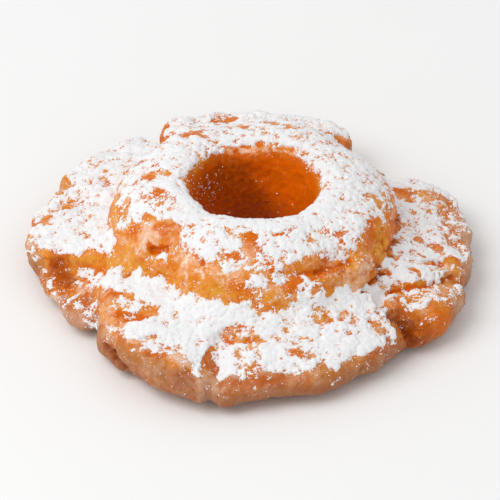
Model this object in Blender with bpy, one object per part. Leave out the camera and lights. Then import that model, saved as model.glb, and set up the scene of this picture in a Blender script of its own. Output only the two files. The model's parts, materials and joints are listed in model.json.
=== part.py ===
"""Old-fashioned cake doughnut: a raised crown ring round a wide hole, on a torn skirt of petals.

The crown and the skirt are one piece of fried dough, so they make one closed solid. Sizes are
real ones, in millimetres. Places are given from the middle of the hole, as an angle in degrees
counted anticlockwise from +X seen from above, a radius, and a height above the surface that the
doughnut rests on. At the end the whole is moved, so that the middle of its box stands on the
origin, and made metres.
"""

import math
from dataclasses import dataclass

import bmesh
import bpy
from mathutils import Vector, noise

MM = 0.001

# Driving sizes of the crown ring and of the plain dough under the petals
HOLE_RADIUS = 11.2  # at its narrowest
HOLE_STRETCH = 1.06  # the hole is this much longer across than from front to back
CROWN_HEIGHT = 25.4
CROWN_RADIUS = 30.0  # at its widest
CROWN_WIDEST = 16.8  # height of the crown's widest place
BASE_RADIUS = 39.4
BASE_HEIGHT = 11.2
SINK = -0.8  # the blanks reach this low before the rest is pressed flat

# Sections of the two rings, as radius and height
CROWN_SECTION = [
    (HOLE_RADIUS + 2.6, SINK),
    (HOLE_RADIUS + 0.5, 2.4),
    (HOLE_RADIUS, 7.0),
    (HOLE_RADIUS + 0.1, 12.0),
    (HOLE_RADIUS + 0.9, 18.0),
    (HOLE_RADIUS + 2.0, CROWN_HEIGHT - 2.6),
    (HOLE_RADIUS + 4.0, CROWN_HEIGHT - 0.3),
    (HOLE_RADIUS + 7.6, CROWN_HEIGHT),
    (CROWN_RADIUS - 6.6, CROWN_HEIGHT - 1.5),
    (CROWN_RADIUS - 2.6, CROWN_HEIGHT - 4.4),
    (CROWN_RADIUS, CROWN_WIDEST),
    (CROWN_RADIUS - 0.6, CROWN_WIDEST - 4.2),
    (CROWN_RADIUS - 3.0, CROWN_WIDEST - 8.8),
    (CROWN_RADIUS - 5.0, SINK),
]
BASE_SECTION = [
    (HOLE_RADIUS + 1.8, SINK),
    (HOLE_RADIUS + 1.4, 5.0),
    (HOLE_RADIUS + 8.8, BASE_HEIGHT - 0.2),
    (BASE_RADIUS - 9.4, BASE_HEIGHT),
    (BASE_RADIUS - 2.9, BASE_HEIGHT - 2.2),
    (BASE_RADIUS, 0.5 * BASE_HEIGHT),
    (BASE_RADIUS - 1.0, 2.4),
    (BASE_RADIUS - 6.4, SINK),
    (BASE_RADIUS - 16.4, SINK - 0.2),
]
SECTION_STEPS = 3  # stretches of a section's curve between two of its points
RING_STEPS = 144
SWELL_FULL = 20.0  # the height from which a swell lifts the crown by its full share


@dataclass(frozen=True)
class Swell:
    """A stretch of the crown's outer wall that stands out, or is drawn in where push is negative."""

    angle: float
    half_angle: float
    push: float
    lift: float


CROWN_SWELLS = [
    Swell(angle=-130, half_angle=17, push=-1.8, lift=-0.8),
    Swell(angle=-84, half_angle=24, push=0.6, lift=0.0),
    Swell(angle=-52, half_angle=13, push=-1.6, lift=-0.3),
    Swell(angle=-28, half_angle=15, push=1.6, lift=0.2),
    Swell(angle=5, half_angle=20, push=0.6, lift=0.4),
    Swell(angle=42, half_angle=20, push=-1.3, lift=0.1),
    Swell(angle=112, half_angle=26, push=-0.4, lift=-0.4),
    Swell(angle=178, half_angle=26, push=0.8, lift=-0.2),
]


@dataclass(frozen=True)
class Petal:
    """One lobe of the torn skirt: a rounded slab that fills a sector from the crown outwards.

    It runs from the start angle to the end angle at its rim, and the two skews turn those sides
    at its neck. Slant lengthens it and tilt raises it towards its end. Corner and edge say how
    square it is, seen from above and through its thickness, where 2 is an ellipse.
    """

    name: str
    start: float
    end: float
    reach: float
    rim_top: float
    neck_top: float = 16.4
    rim_foot: float = 2.3
    slant: float = 0.0
    tilt: float = 0.0
    start_skew: float = 0.0
    end_skew: float = 0.0
    corner: float = 6.0
    edge: float = 5.0


PETAL_NECK = 21.0  # the radius at which a petal starts, inside the crown
PETAL_FOOT = 0.3  # height of a petal's underside at its neck
FOOT_CURVE = 4  # how late the underside turns up towards the rim
BALL_CUTS = 5  # subdivisions of the ball that each petal is shaped from

PETALS = [
    Petal("right", -14, 34, reach=47.0, rim_top=8.4, slant=0.2, tilt=-1.0, start_skew=-44),
    Petal("right_front", -42, -15, reach=46.9, rim_top=8.8, slant=1.0, neck_top=13.5, corner=4),
    Petal("front_right", -104, -40, reach=46.1, rim_top=8.4, slant=-2.8, tilt=1.0, corner=7),
    Petal("front_left", -132, -101, reach=48.2, rim_top=9.9, slant=3.2, tilt=-1.0, start_skew=-41),
    Petal("front_ridge", -124, -77, reach=35.8, rim_top=12.2, neck_top=21.5, slant=-0.6, edge=7.0),
    Petal("left_front", 162, 184, reach=48.6, rim_top=9.8, tilt=0.4, end_skew=28),
    Petal("left_shelf", 176, 217, reach=45.9, rim_top=5.8, slant=-2.0, neck_top=10.5, end_skew=-16, edge=3.5),
    Petal("left_step", 146, 165, reach=48.0, rim_top=9.2, slant=1.0, corner=5),
    Petal("left_back", 121, 152, reach=47.2, rim_top=10.0, slant=0.8),
    Petal("back", 59, 119, reach=46.4, rim_top=11.2, slant=0.6, tilt=0.2, corner=7),
]


@dataclass(frozen=True)
class Dent:
    """A round hollow in the crust, or a blister where depth is negative."""

    name: str
    angle: float
    radius: float
    height: float
    size: float
    depth: float


DENT_SPREAD = 1.6  # a dent ends this many times its size from its middle

DENTS = [
    Dent("crown pit", -141, 27.6, 19.4, size=2.2, depth=2.0),
    Dent("crown pinhole", -114, 26.8, 20.6, size=1.8, depth=0.9),
    Dent("crown bite", -27, 29.4, 19.6, size=4.2, depth=2.4),
    Dent("crown lobe, left half", -59, 28.4, 15.6, size=4.8, depth=-1.4),
    Dent("crown lobe, right half", -44, 28.8, 15.8, size=5.0, depth=-1.8),
    Dent("hole fold", 90, 11.8, 22.0, size=2.6, depth=-1.0),
    Dent("front left step", -133, 43.0, 10.4, size=4.2, depth=1.5),
    Dent("front cleft", -104, 43.4, 6.2, size=4.4, depth=2.6),
    Dent("front foot", -100, 46.4, 2.4, size=5.0, depth=-1.4),
    Dent("front left foot", -138, 44.4, 3.2, size=2.8, depth=-1.1),
    Dent("shelf tip", -145.5, 43.2, 2.4, size=2.4, depth=-1.4),
    Dent("front left shoulder", -152, 37.2, 11.8, size=3.4, depth=-1.4),
    Dent("shelf lump", -165, 38.4, 6.0, size=2.4, depth=-1.6),
    Dent("shelf hollow", -161, 43.6, 3.4, size=2.8, depth=1.2),
    Dent("left knob", 169, 49.0, 8.0, size=2.4, depth=-0.8),
    Dent("left notch", 174.5, 49.0, 6.8, size=1.8, depth=1.8),
    Dent("left side", 163, 48.2, 8.0, size=2.8, depth=0.9),
    Dent("left back knob", 151, 47.6, 9.0, size=2.6, depth=-1.3),
    Dent("left back notch", 156, 47.4, 8.0, size=2.2, depth=1.8),
    Dent("left back rise", 141, 44.8, 9.8, size=3.6, depth=-0.8),
    Dent("left back corner", 125, 42.4, 10.6, size=3.8, depth=1.5),
    Dent("back hollow", 97, 41.5, 11.8, size=2.8, depth=1.4),
    Dent("back left bump", 112, 43.6, 11.6, size=2.6, depth=-0.4),
    Dent("back right bump", 64, 44.4, 11.6, size=2.6, depth=-0.2),
    Dent("right hollow", 23, 34.6, 12.0, size=3.2, depth=1.4),
    Dent("right back bump", 33, 39.5, 10.4, size=2.4, depth=-1.2),
    Dent("right knob", 6.5, 47.2, 7.2, size=2.4, depth=-1.6),
    Dent("right front hollow", -13, 41.0, 10.6, size=2.6, depth=1.2),
]


@dataclass(frozen=True)
class Tear:
    """A crack in the crust along a path of places, each given as angle, radius and height."""

    name: str
    path: tuple
    width: float
    depth: float


TEAR_WANDER = 1.1  # how far a tear strays from its path
TEAR_WANDER_SIZE = 4.5  # and the size of its turns

TEARS = [
    Tear("crown lip", ((-79, 27.6, 20.4), (-65, 27.6, 20.0), (-51, 26.6, 20.2), (-36, 29.6, 18.8)), 1.3, 1.8),
    Tear("right lip", ((-37, 33.6, 10.6), (-25, 38.6, 9.2), (-16, 44.6, 8.4)), 1.3, 1.9),
    Tear("right gap", ((-41, 34.6, 9.6), (-42, 40.6, 6.8)), 1.6, 3.0),
    Tear("front right crack", ((-70, 34.1, 11.5), (-55, 34.9, 11.6)), 2.0, 0.8),
    Tear("front groove", ((-101, 36.2, 9.6), (-87, 36.4, 9.8)), 1.8, 0.8),
    Tear("front left ledge", ((-134, 41.0, 11.3), (-129, 38.8, 11.7), (-124, 36.2, 12.4)), 1.7, 1.2),
    Tear("front left crack", ((-131, 45.8, 6.2), (-125, 46.6, 4.6)), 1.2, 1.4),
    Tear("left recess", ((-175, 46.0, 6.0), (-169, 40.0, 7.4), (-162, 35.0, 9.6)), 2.2, 1.3),
    Tear("left back crack", ((128, 38.0, 12.0), (134, 44.0, 11.0)), 1.4, 1.2),
    Tear("back crack", ((72, 40.0, 12.4), (90, 38.0, 12.8), (108, 40.5, 12.4)), 1.5, 1.0),
    Tear("back rim crack", ((60, 47.0, 6.0), (90, 47.5, 6.4), (118, 47.5, 5.6)), 1.6, 1.2),
    Tear("right crack", ((4, 36.0, 11.6), (10, 43.0, 10.2)), 1.4, 1.0),
]

# Uneven dough and craggy crust, as size and height of its waves
NOISE_SEED = 4
ROLL_SIZE = 12.0
ROLL_HEIGHT = 0.8
ROLL_PLACE = Vector((3.7, 1.3, 8.1))
LUMP_SIZE = 7.5
LUMP_HEIGHT = 0.85
LUMP_FALL = 1.6  # how steeply a lump falls from its middle
LUMP_WARP = 2.5
CRAG_SIZE = 4.2
CRAG_HEIGHT = 0.5
CRAG_START = 24.0  # inside this radius the crust is fairly smooth
CRAG_FULL = 34.0  # and from this one outwards it is fully rough
CROWN_ROUGHNESS = 0.2
SMOOTH_FOOT = 2.5  # below this height the crust is smoother, where it lay in the oil
FOOT_ROUGHNESS = 0.35

# The skin that makes the blanks one solid
VOXEL = 0.7
SMOOTH_ROUNDS = 2
REST_BAND = 0.3  # what ends lower than this is pressed into the flat that the doughnut rests on
REST_SNAP = 0.12  # and so is what comes this close to it when the skin is remade or thinned
TRIANGLES = 11000

CRUST_COLOUR = (0.62, 0.27, 0.075, 1.0)
CRUST_ROUGHNESS = 0.55


def clear_scene():
    """Removes whatever the scene starts with."""
    for obj in list(bpy.data.objects):
        bpy.data.objects.remove(obj)


def polar(angle, radius, height):
    """A point in millimetres from an angle in degrees, a radius and a height."""
    turn = math.radians(angle)
    return Vector((radius * math.cos(turn), radius * math.sin(turn), height))


def angle_between(first, second):
    """The turn from the second angle to the first, in degrees between -180 and 180."""
    return (first - second + 180.0) % 360.0 - 180.0


def smooth_step(value):
    """0 below 0, 1 above 1, and an even curve between."""
    value = min(max(value, 0.0), 1.0)
    return value * value * (3.0 - 2.0 * value)


def closed_curve(points, steps):
    """A smooth closed curve through the points, with so many places between each two."""
    curve = []
    count = len(points)
    for index in range(count):
        before, here, after, beyond = (
            Vector(points[(index + shift) % count]) for shift in (-1, 0, 1, 2)
        )
        for step in range(steps):
            t = step / steps
            curve.append(
                0.5
                * (
                    2 * here
                    + (after - before) * t
                    + (2 * before - 5 * here + 4 * after - beyond) * t**2
                    + (3 * here - before - 3 * after + beyond) * t**3
                )
            )
    return curve


def add_turned_ring(bm, section):
    """Spins a closed section about the Z axis, and returns the new vertices."""
    outline = closed_curve(section, SECTION_STEPS)
    corners = [bm.verts.new((radius, 0.0, height)) for radius, height in outline]
    edges = [bm.edges.new((a, b)) for a, b in zip(corners, corners[1:] + corners[:1])]
    others = set(bm.verts) - set(corners)
    bmesh.ops.spin(
        bm,
        geom=corners + edges,
        axis=(0, 0, 1),
        cent=(0, 0, 0),
        steps=RING_STEPS,
        angle=math.tau,
        use_merge=True,
    )
    return [vert for vert in bm.verts if vert not in others]


def add_crown(bm):
    """The raised ring, with its outer wall pushed in and out and its hole a little oval."""
    rim = HOLE_RADIUS + 4.0
    middle = 0.5 * (HOLE_RADIUS + CROWN_RADIUS)
    for vert in add_turned_ring(bm, CROWN_SECTION):
        radius = math.hypot(vert.co.x, vert.co.y)
        angle = math.degrees(math.atan2(vert.co.y, vert.co.x))
        outer = smooth_step((radius - rim) / (CROWN_RADIUS - 2.0 - rim))
        upper = smooth_step(vert.co.z / SWELL_FULL)
        grown = radius
        for swell in CROWN_SWELLS:
            share = smooth_step(1.0 - abs(angle_between(angle, swell.angle)) / swell.half_angle)
            grown += swell.push * share * outer
            vert.co.z += swell.lift * share * upper
        inner = 1.0 - smooth_step((radius - HOLE_RADIUS) / (middle - HOLE_RADIUS))
        vert.co.x *= grown / radius * (1.0 + (HOLE_STRETCH - 1.0) * inner)
        vert.co.y *= grown / radius * (1.0 - (HOLE_STRETCH - 1.0) * inner)


def rounded(value, squareness):
    """A sine or cosine drawn out towards a square, as in a superellipse."""
    return math.copysign(abs(value) ** (2.0 / squareness), value)


def add_petal(bm, petal):
    """A ball drawn out into the petal's rounded sector."""
    ball = bmesh.ops.create_icosphere(bm, subdivisions=BALL_CUTS, radius=1.0)
    for vert in ball["verts"]:
        turn = math.atan2(vert.co.y, vert.co.x)
        level = math.hypot(vert.co.x, vert.co.y) ** (2.0 / petal.edge)
        outwards = level * rounded(math.cos(turn), petal.corner)
        sideways = level * rounded(math.sin(turn), petal.corner)
        upwards = rounded(vert.co.z, petal.edge)
        reach = petal.reach + petal.slant * sideways
        radius = PETAL_NECK + (reach - PETAL_NECK) * 0.5 * (1.0 + outwards)
        share = (radius - PETAL_NECK) / (petal.reach - PETAL_NECK)
        top = petal.neck_top + (petal.rim_top + petal.tilt * sideways - petal.neck_top) * share
        foot = PETAL_FOOT + (petal.rim_foot - PETAL_FOOT) * share**FOOT_CURVE
        height = foot + (top - foot) * 0.5 * (1.0 + upwards)
        start = petal.start + petal.start_skew * (1.0 - share)
        end = petal.end + petal.end_skew * (1.0 - share)
        vert.co = polar(start + (end - start) * 0.5 * (1.0 + sideways), radius, height)


def merged_skin(bm, smooth_rounds):
    """One even skin round all the bodies of a bmesh, smoothed by the number of rounds."""
    mesh = bpy.data.meshes.new("blank")
    bm.to_mesh(mesh)
    bm.free()
    blank = bpy.data.objects.new("blank", mesh)
    bpy.context.scene.collection.objects.link(blank)
    remesh = blank.modifiers.new("one_skin", "REMESH")
    remesh.mode = "VOXEL"
    remesh.voxel_size = VOXEL
    if smooth_rounds:
        smooth = blank.modifiers.new("soften", "SMOOTH")
        smooth.factor = 0.5
        smooth.iterations = smooth_rounds
    bpy.context.view_layer.update()
    skin = bmesh.new()
    skin.from_object(blank, bpy.context.evaluated_depsgraph_get())
    bpy.data.objects.remove(blank)
    bpy.data.meshes.remove(mesh)
    return skin


def dough_blank():
    """The crown, the base and the petals made one skin, in millimetres."""
    bm = bmesh.new()
    add_crown(bm)
    add_turned_ring(bm, BASE_SECTION)
    for petal in PETALS:
        add_petal(bm, petal)
    bmesh.ops.recalc_face_normals(bm, faces=bm.faces)
    return merged_skin(bm, SMOOTH_ROUNDS)


def dent_depth(dent, place):
    """How far a dent draws the crust in at a place."""
    distance = (place - polar(dent.angle, dent.radius, dent.height)).length
    return dent.depth * smooth_step(1.0 - distance / (DENT_SPREAD * dent.size))


def path_offset(place, start, end):
    """The way from a place to the nearest point of a straight stretch."""
    along = end - start
    share = min(max((place - start).dot(along) / along.length_squared, 0.0), 1.0)
    return start + along * share - place


def tear_depth(tear, place):
    """How far a tear draws the crust in at a place: a wandering groove that closes at its ends."""
    wandered = place + noise.noise_vector(place / TEAR_WANDER_SIZE) * TEAR_WANDER
    corners = [polar(*corner) for corner in tear.path]
    distance = min(
        path_offset(wandered, start, end).length for start, end in zip(corners, corners[1:])
    )
    return tear.depth * math.exp(-((distance / tear.width) ** 2))


def roll_height(place):
    """Height of the slow unevenness of hand-cut dough at a place."""
    return ROLL_HEIGHT * noise.noise(place / ROLL_SIZE + ROLL_PLACE)


def crag_height(place):
    """Height of the craggy crust at a place: lumps and scales on the skirt, little on the crown."""
    radius = math.hypot(place.x, place.y)
    rough = smooth_step((radius - CRAG_START) / (CRAG_FULL - CRAG_START))
    rough *= FOOT_ROUGHNESS + (1.0 - FOOT_ROUGHNESS) * smooth_step(place.z / SMOOTH_FOOT)
    warped = place + noise.noise_vector(place / LUMP_SIZE) * LUMP_WARP
    nearest = noise.voronoi(warped / LUMP_SIZE)[0][0]
    lumps = LUMP_HEIGHT * (0.5 - LUMP_FALL * nearest**2)
    crags = CRAG_HEIGHT * noise.fractal(place / CRAG_SIZE, 1.0, 2.0, 2)
    return (CROWN_ROUGHNESS + (1.0 - CROWN_ROUGHNESS) * rough) * (lumps + crags)


def carve_relief(skin):
    """Moves each point of the skin along its normal by the relief there."""
    skin.normal_update()
    moves = []
    for vert in skin.verts:
        place = vert.co
        rise = roll_height(place) + crag_height(place)
        rise -= sum(dent_depth(dent, place) for dent in DENTS)
        rise -= sum(tear_depth(tear, place) for tear in TEARS)
        moves.append(vert.normal * rise)
    for vert, move in zip(skin.verts, moves):
        vert.co += move


def press_rest(verts):
    """Presses the lowest crust into the flat ring that the doughnut rests on."""
    for vert in verts:
        vert.co.z = max(vert.co.z - REST_BAND, 0.0)


def level_rest(verts):
    """Makes the resting ring exactly flat again after the skin is remade or thinned."""
    for vert in verts:
        if vert.co.z < REST_SNAP:
            vert.co.z = 0.0


def thinned_mesh(skin, triangles):
    """A mesh of the skin with only about so many triangles left."""
    full = bpy.data.meshes.new("full")
    skin.to_mesh(full)
    skin.free()
    holder = bpy.data.objects.new("full", full)
    bpy.context.scene.collection.objects.link(holder)
    fewer = holder.modifiers.new("fewer_faces", "DECIMATE")
    fewer.ratio = triangles / len(full.polygons)
    fewer.use_collapse_triangulate = True
    bpy.context.view_layer.update()
    graph = bpy.context.evaluated_depsgraph_get()
    thin = bpy.data.meshes.new_from_object(holder.evaluated_get(graph))
    bpy.data.objects.remove(holder)
    bpy.data.meshes.remove(full)
    return thin


def stand_on_origin(mesh):
    """Moves the mesh so that the middle of its box stands on the origin, and makes it metres."""
    xs = [vert.co.x for vert in mesh.vertices]
    ys = [vert.co.y for vert in mesh.vertices]
    middle = Vector((0.5 * (min(xs) + max(xs)), 0.5 * (min(ys) + max(ys)), 0.0))
    for vert in mesh.vertices:
        vert.co = (vert.co - middle) * MM


def crust_material():
    """Golden brown fried crust."""
    material = bpy.data.materials.new("crust")
    material.use_nodes = True
    shader = material.node_tree.nodes["Principled BSDF"]
    shader.inputs["Base Color"].default_value = CRUST_COLOUR
    shader.inputs["Roughness"].default_value = CRUST_ROUGHNESS
    shader.inputs["Metallic"].default_value = 0.0
    return material


def make_doughnut():
    """The whole doughnut as one object."""
    skin = dough_blank()
    carve_relief(skin)
    press_rest(skin.verts)
    skin = merged_skin(skin, smooth_rounds=0)
    level_rest(skin.verts)
    bmesh.ops.triangulate(skin, faces=skin.faces)
    mesh = thinned_mesh(skin, TRIANGLES)
    mesh.name = "doughnut"
    level_rest(mesh.vertices)
    stand_on_origin(mesh)
    mesh.shade_smooth()
    mesh.materials.append(crust_material())
    doughnut = bpy.data.objects.new("doughnut", mesh)
    bpy.context.scene.collection.objects.link(doughnut)


def main():
    """Builds the doughnut in an empty scene."""
    clear_scene()
    noise.seed_set(NOISE_SEED)
    make_doughnut()


main()
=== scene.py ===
"""Dresses the old-fashioned doughnut: a glazed craggy crust, drifts of powdered sugar and a pale studio.

Shapes are worked out in millimetres from the middle of the hole, as the solid was, and become metres in
the meshes. A place is an angle in degrees anticlockwise from +X seen from above, a radius and a height.
"""

import json
import logging
import math
from dataclasses import dataclass, field
from enum import Enum

import bmesh
import bpy
import numpy as np
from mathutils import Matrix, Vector, noise


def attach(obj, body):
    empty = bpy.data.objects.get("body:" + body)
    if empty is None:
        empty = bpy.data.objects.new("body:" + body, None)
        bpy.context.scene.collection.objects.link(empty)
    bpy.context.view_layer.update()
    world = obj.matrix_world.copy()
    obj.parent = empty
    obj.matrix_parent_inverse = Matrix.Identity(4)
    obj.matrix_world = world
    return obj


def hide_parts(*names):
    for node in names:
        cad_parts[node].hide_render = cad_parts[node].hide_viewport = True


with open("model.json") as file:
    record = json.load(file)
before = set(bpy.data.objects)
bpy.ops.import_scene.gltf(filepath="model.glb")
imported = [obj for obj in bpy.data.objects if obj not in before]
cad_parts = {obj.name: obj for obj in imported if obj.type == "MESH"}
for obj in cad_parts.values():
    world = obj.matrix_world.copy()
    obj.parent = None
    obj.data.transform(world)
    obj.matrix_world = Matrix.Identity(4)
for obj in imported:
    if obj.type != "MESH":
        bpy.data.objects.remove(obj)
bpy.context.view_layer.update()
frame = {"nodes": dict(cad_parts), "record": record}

LOG = logging.getLogger("doughnut")

MM = 0.001
NODE = "doughnut"
BODY = "root"
NOISE_SEED = 4
LOT_SCALE = 61.7
WHITE = (1.0, 1.0, 1.0, 1.0)
MERGED = 0.01
NEAR_ZERO = 1e-9
EVEN_PULL = 0.5

Place = tuple[float, float, float]
Colour = tuple[float, float, float, float]
Span = tuple[float, float]
Field = np.ndarray
Socket = bpy.types.NodeSocket


def hole_middle() -> np.ndarray:
    """Finds the middle of the hole from the record's opening.

    Returns:
        A point at the height of the resting surface, in millimetres.
    """
    low, high = frame["record"]["physics"]["openings"][0]["box_m"]
    middle = 0.5 * (np.array(low) + np.array(high)) / MM
    middle[2] = 0.0
    return middle


HOLE = hole_middle()


def polar(place: Place) -> np.ndarray:
    """Turns a place into a point.

    Args:
        place: Angle in degrees, radius and height.

    Returns:
        The point in millimetres from the middle of the hole.
    """
    angle, radius, height = place
    turn = math.radians(angle)
    return np.array((radius * math.cos(turn), radius * math.sin(turn), height))


def placed(name: str, data: bpy.types.ID) -> bpy.types.Object:
    """Makes an object and puts it into the scene.

    Args:
        name: The object's name.
        data: Its mesh, lamp or camera.

    Returns:
        The object.
    """
    obj = bpy.data.objects.new(name, data)
    bpy.context.scene.collection.objects.link(obj)
    return obj


def smooth_step(value: Field) -> Field:
    """Gives 0 below 0, 1 above 1 and an even curve between."""
    value = np.clip(value, 0.0, 1.0)
    return value * value * (3.0 - 2.0 * value)


@dataclass(frozen=True)
class Waves:
    """Smooth random waves through space.

    The largest have the size, in millimetres, and each octave after the first halves it. At a fade of 1
    each is half as high as the last. The shift moves the pattern, so that two of one size differ.
    """

    size: float
    octaves: int = 1
    fade: float = 1.0
    shift: float = 0.0

    def at(self, points: Field) -> Field:
        """Gives the height of the waves at each point, mostly between -1 and 1."""
        scaled = (points / self.size + self.shift).tolist()
        return np.array([noise.fractal(point, self.fade, 2.0, self.octaves) for point in scaled])


@dataclass(frozen=True)
class Cells:
    """Scattered middles, about as far apart as the size in millimetres.

    The radius is that of the mark round a middle, as a share of the size. Only the middles whose random
    lot, from -1 to 1, is above the least lot have a mark.
    """

    size: float
    radius: float
    least_lot: float
    shift: float = 0.0

    def at(self, points: Field) -> tuple[Field, Field]:
        """Measures where points are among the marks.

        Args:
            points: Points in millimetres, a row each.

        Returns:
            How far each point is from the nearest middle, in radii, and whether that middle has a mark.
        """
        near, lots = [], []
        for point in (points / self.size + self.shift).tolist():
            distances, middles = noise.voronoi(point)
            near.append(distances[0])
            lots.append(noise.cell(middles[0] * LOT_SCALE))
        return np.array(near) / self.radius, np.array(lots) > self.least_lot


@dataclass(frozen=True)
class Edge:
    """An even change from 0 to 1 over some reach of a measure."""

    start: float
    reach: float

    def over(self, value: Field) -> Field:
        """Gives 0 up to the start and 1 from a reach above it."""
        return smooth_step((value - self.start) / self.reach)

    def under(self, value: Field) -> Field:
        """Gives 0 from the start up and 1 from a reach below it."""
        return smooth_step((self.start - value) / self.reach)


def strayed(points: Field, size: float, reach: float) -> Field:
    """Moves points about in waves, by about a third of the reach, which gives what is there uneven edges."""
    return points + reach * np.array([noise.noise_vector(point) for point in (points / size).tolist()])


@dataclass(frozen=True)
class Streak:
    """A named patch or stripe of the surface, along one place or more.

    The amount is full at the path, half at the width from it and nothing at one and a half widths.
    """

    name: str
    path: tuple[Place, ...]
    width: float
    amount: float

    def share(self, points: Field) -> Field:
        """Measures how much of the amount some points get.

        Args:
            points: Points in millimetres, a row each.

        Returns:
            A share from 0 to 1 for each point.
        """
        corners = [polar(place) for place in self.path]
        nearest = np.full(len(points), np.inf)
        for start, end in zip(corners, corners[1:] or corners):
            along = end - start
            reach = np.clip((points - start) @ along / max(along @ along, NEAR_ZERO), 0.0, 1.0)
            gap = points - start - reach[:, None] * along
            nearest = np.minimum(nearest, np.linalg.norm(gap, axis=1))
        return smooth_step(1.5 - nearest / self.width)


def summed(streaks: tuple[Streak, ...], points: Field) -> Field:
    """Adds up the amounts of some streaks.

    Args:
        streaks: The streaks.
        points: Points in millimetres, a row each.

    Returns:
        The sum at each point.
    """
    total = np.zeros(len(points))
    for streak in streaks:
        total += streak.amount * streak.share(points)
    return total


def settled(cover: Field, streaks: tuple[Streak, ...], points: Field) -> Field:
    """Brings a cover to the amount of each streak in turn, as far as its share reaches.

    Args:
        cover: The cover at each point.
        streaks: The streaks, of which a later one goes over an earlier one.
        points: Points in millimetres, a row each.

    Returns:
        The new cover at each point.
    """
    for streak in streaks:
        cover = cover + (streak.amount - cover) * streak.share(points)
    return cover


# Paths that streaks of more than one kind follow
LOBE_RIGHT = ((-34, 30.8, 15.8), (-32, 30.7, 14.0))
PIT_FOOT = ((-23, 31.0, 13.7), (-21, 30.3, 15.2), (-15, 30.4, 14.2), (-10, 30.7, 13.5))
CROWN_RIGHT_FOOT = ((6, 30.9, 13.1), (-5, 30.2, 15.8))
CROWN_PIT = ((-144, 27.2, 18.7), (-141, 26.3, 18.6), (-135, 25.7, 20.3))
FRONT_LEFT_CRACK = ((-134, 44.4, 5.6), (-131, 44.6, 5.1), (-126, 45.1, 3.5))
SLOT = ((-34, 34.3, 9.5), (-31, 35.8, 9.8), (-29, 37.2, 9.9), (-26, 39.6, 9.9), (-16, 43.6, 8.3))
RIGHT_FRONT_FACE = ((-40, 43.8, 5.6), (-33, 46.6, 5.6))

# Sharp cracks and creases in the crust, whose amount is their depth
CREASES = (
    Streak(
        "crown lip", ((-79, 27.7, 20.4), (-62, 27.5, 19.3), (-55, 27.5, 19.2), (-45, 28.4, 19.3)), 0.5, 0.8
    ),
    Streak("lobe, right", LOBE_RIGHT, 0.5, 0.7),
    Streak("lobe, foot", ((-31, 31.3, 12.5), (-37, 31.3, 12.3), (-46, 32.1, 12.6)), 0.5, 0.7),
    Streak("lobe, pinhole", ((-43, 30.4, 17.2),), 0.4, 0.7),
    Streak("pit, foot", PIT_FOOT, 0.5, 0.6),
    Streak("crown, right foot", CROWN_RIGHT_FOOT, 0.5, 0.5),
    Streak("crown pit", ((-143, 26.8, 18.7), (-140, 26.2, 19.1), (-136, 25.6, 20.4)), 0.6, 1.0),
    Streak("pinhole", ((-116, 25.4, 21.6), (-114, 25.9, 20.9)), 0.4, 0.7),
    Streak("front left crack", FRONT_LEFT_CRACK, 0.6, 1.1),
    Streak("front left patch", ((-134, 40.3, 11.0), (-131, 39.1, 11.2), (-126, 38.4, 12.3)), 0.8, 0.5),
    Streak("right slot", SLOT, 0.5, 0.8),
    Streak("right gap", ((-44, 36.6, 10.0), (-41, 41.0, 7.8), (-42, 44.0, 3.6)), 0.7, 0.8),
    Streak("right edge pit", ((-13, 40.2, 9.6),), 1.0, 0.7),
    Streak("front groove", ((-99, 35.9, 9.4), (-93, 36.4, 10.4), (-88, 36.2, 11.0)), 0.6, 0.4),
    Streak("front right crack", ((-69, 34.6, 11.6), (-58, 35.6, 11.5)), 0.6, 0.4),
)

# Pale runs of glaze, whose amount is how pale they are
VEINS = (
    Streak("face, left", ((-149, 25.7, 22.2), (-148, 27.4, 20.5), (-146, 28.3, 18.8)), 0.55, 0.8),
    Streak("face, over the pit", ((-140, 24.7, 22.0), (-140, 23.2, 23.0), (-139, 22.0, 23.5)), 0.30, 0.9),
    Streak("face, over the pit", ((-132, 22.1, 22.7), (-136, 23.8, 22.1)), 0.35, 0.7),
    Streak("face, middle", ((-126, 23.9, 21.6), (-129, 25.5, 19.7), (-129, 26.9, 17.8)), 0.35, 0.7),
    Streak("face, middle", ((-122, 24.7, 21.4), (-122, 25.8, 20.4), (-124, 26.6, 19.0)), 0.52, 1.0),
    Streak("face, middle", ((-121, 27.0, 19.1), (-120, 27.8, 18.2)), 0.45, 0.9),
    Streak("face, right", ((-115, 27.2, 19.6), (-113, 28.3, 19.1), (-113, 29.1, 18.3)), 0.5, 1.0),
    Streak("face, right", ((-113, 26.4, 20.4), (-111, 26.7, 20.7)), 0.55, 0.6),
    Streak("face, far right", ((-103, 25.9, 21.6), (-103, 26.9, 20.8), (-104, 27.9, 19.9)), 0.5, 0.9),
    Streak("lobe", ((-44, 30.1, 18.4), (-44, 31.2, 16.3), (-46, 31.6, 13.1)), 0.3, 0.7),
    Streak("lobe edge", ((-44, 28.6, 19.2), (-38, 29.6, 18.6), (-35, 30.6, 16.6)), 0.35, 0.9),
    Streak("lobe, left", ((-58, 28.8, 18.6), (-55, 29.4, 18.2)), 0.5, 0.8),
    Streak("shelf", ((-160, 43.5, 5.2), (-159, 42.6, 5.5), (-160, 41.4, 6.0)), 0.3, 0.9),
    Streak("crack edge", ((-131, 45.2, 6.4), (-127, 45.8, 5.0)), 0.25, 0.5),
    Streak("ledge edge", ((-34, 36.2, 9.6), (-26, 41.0, 9.2)), 0.5, 0.6),
)

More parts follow.
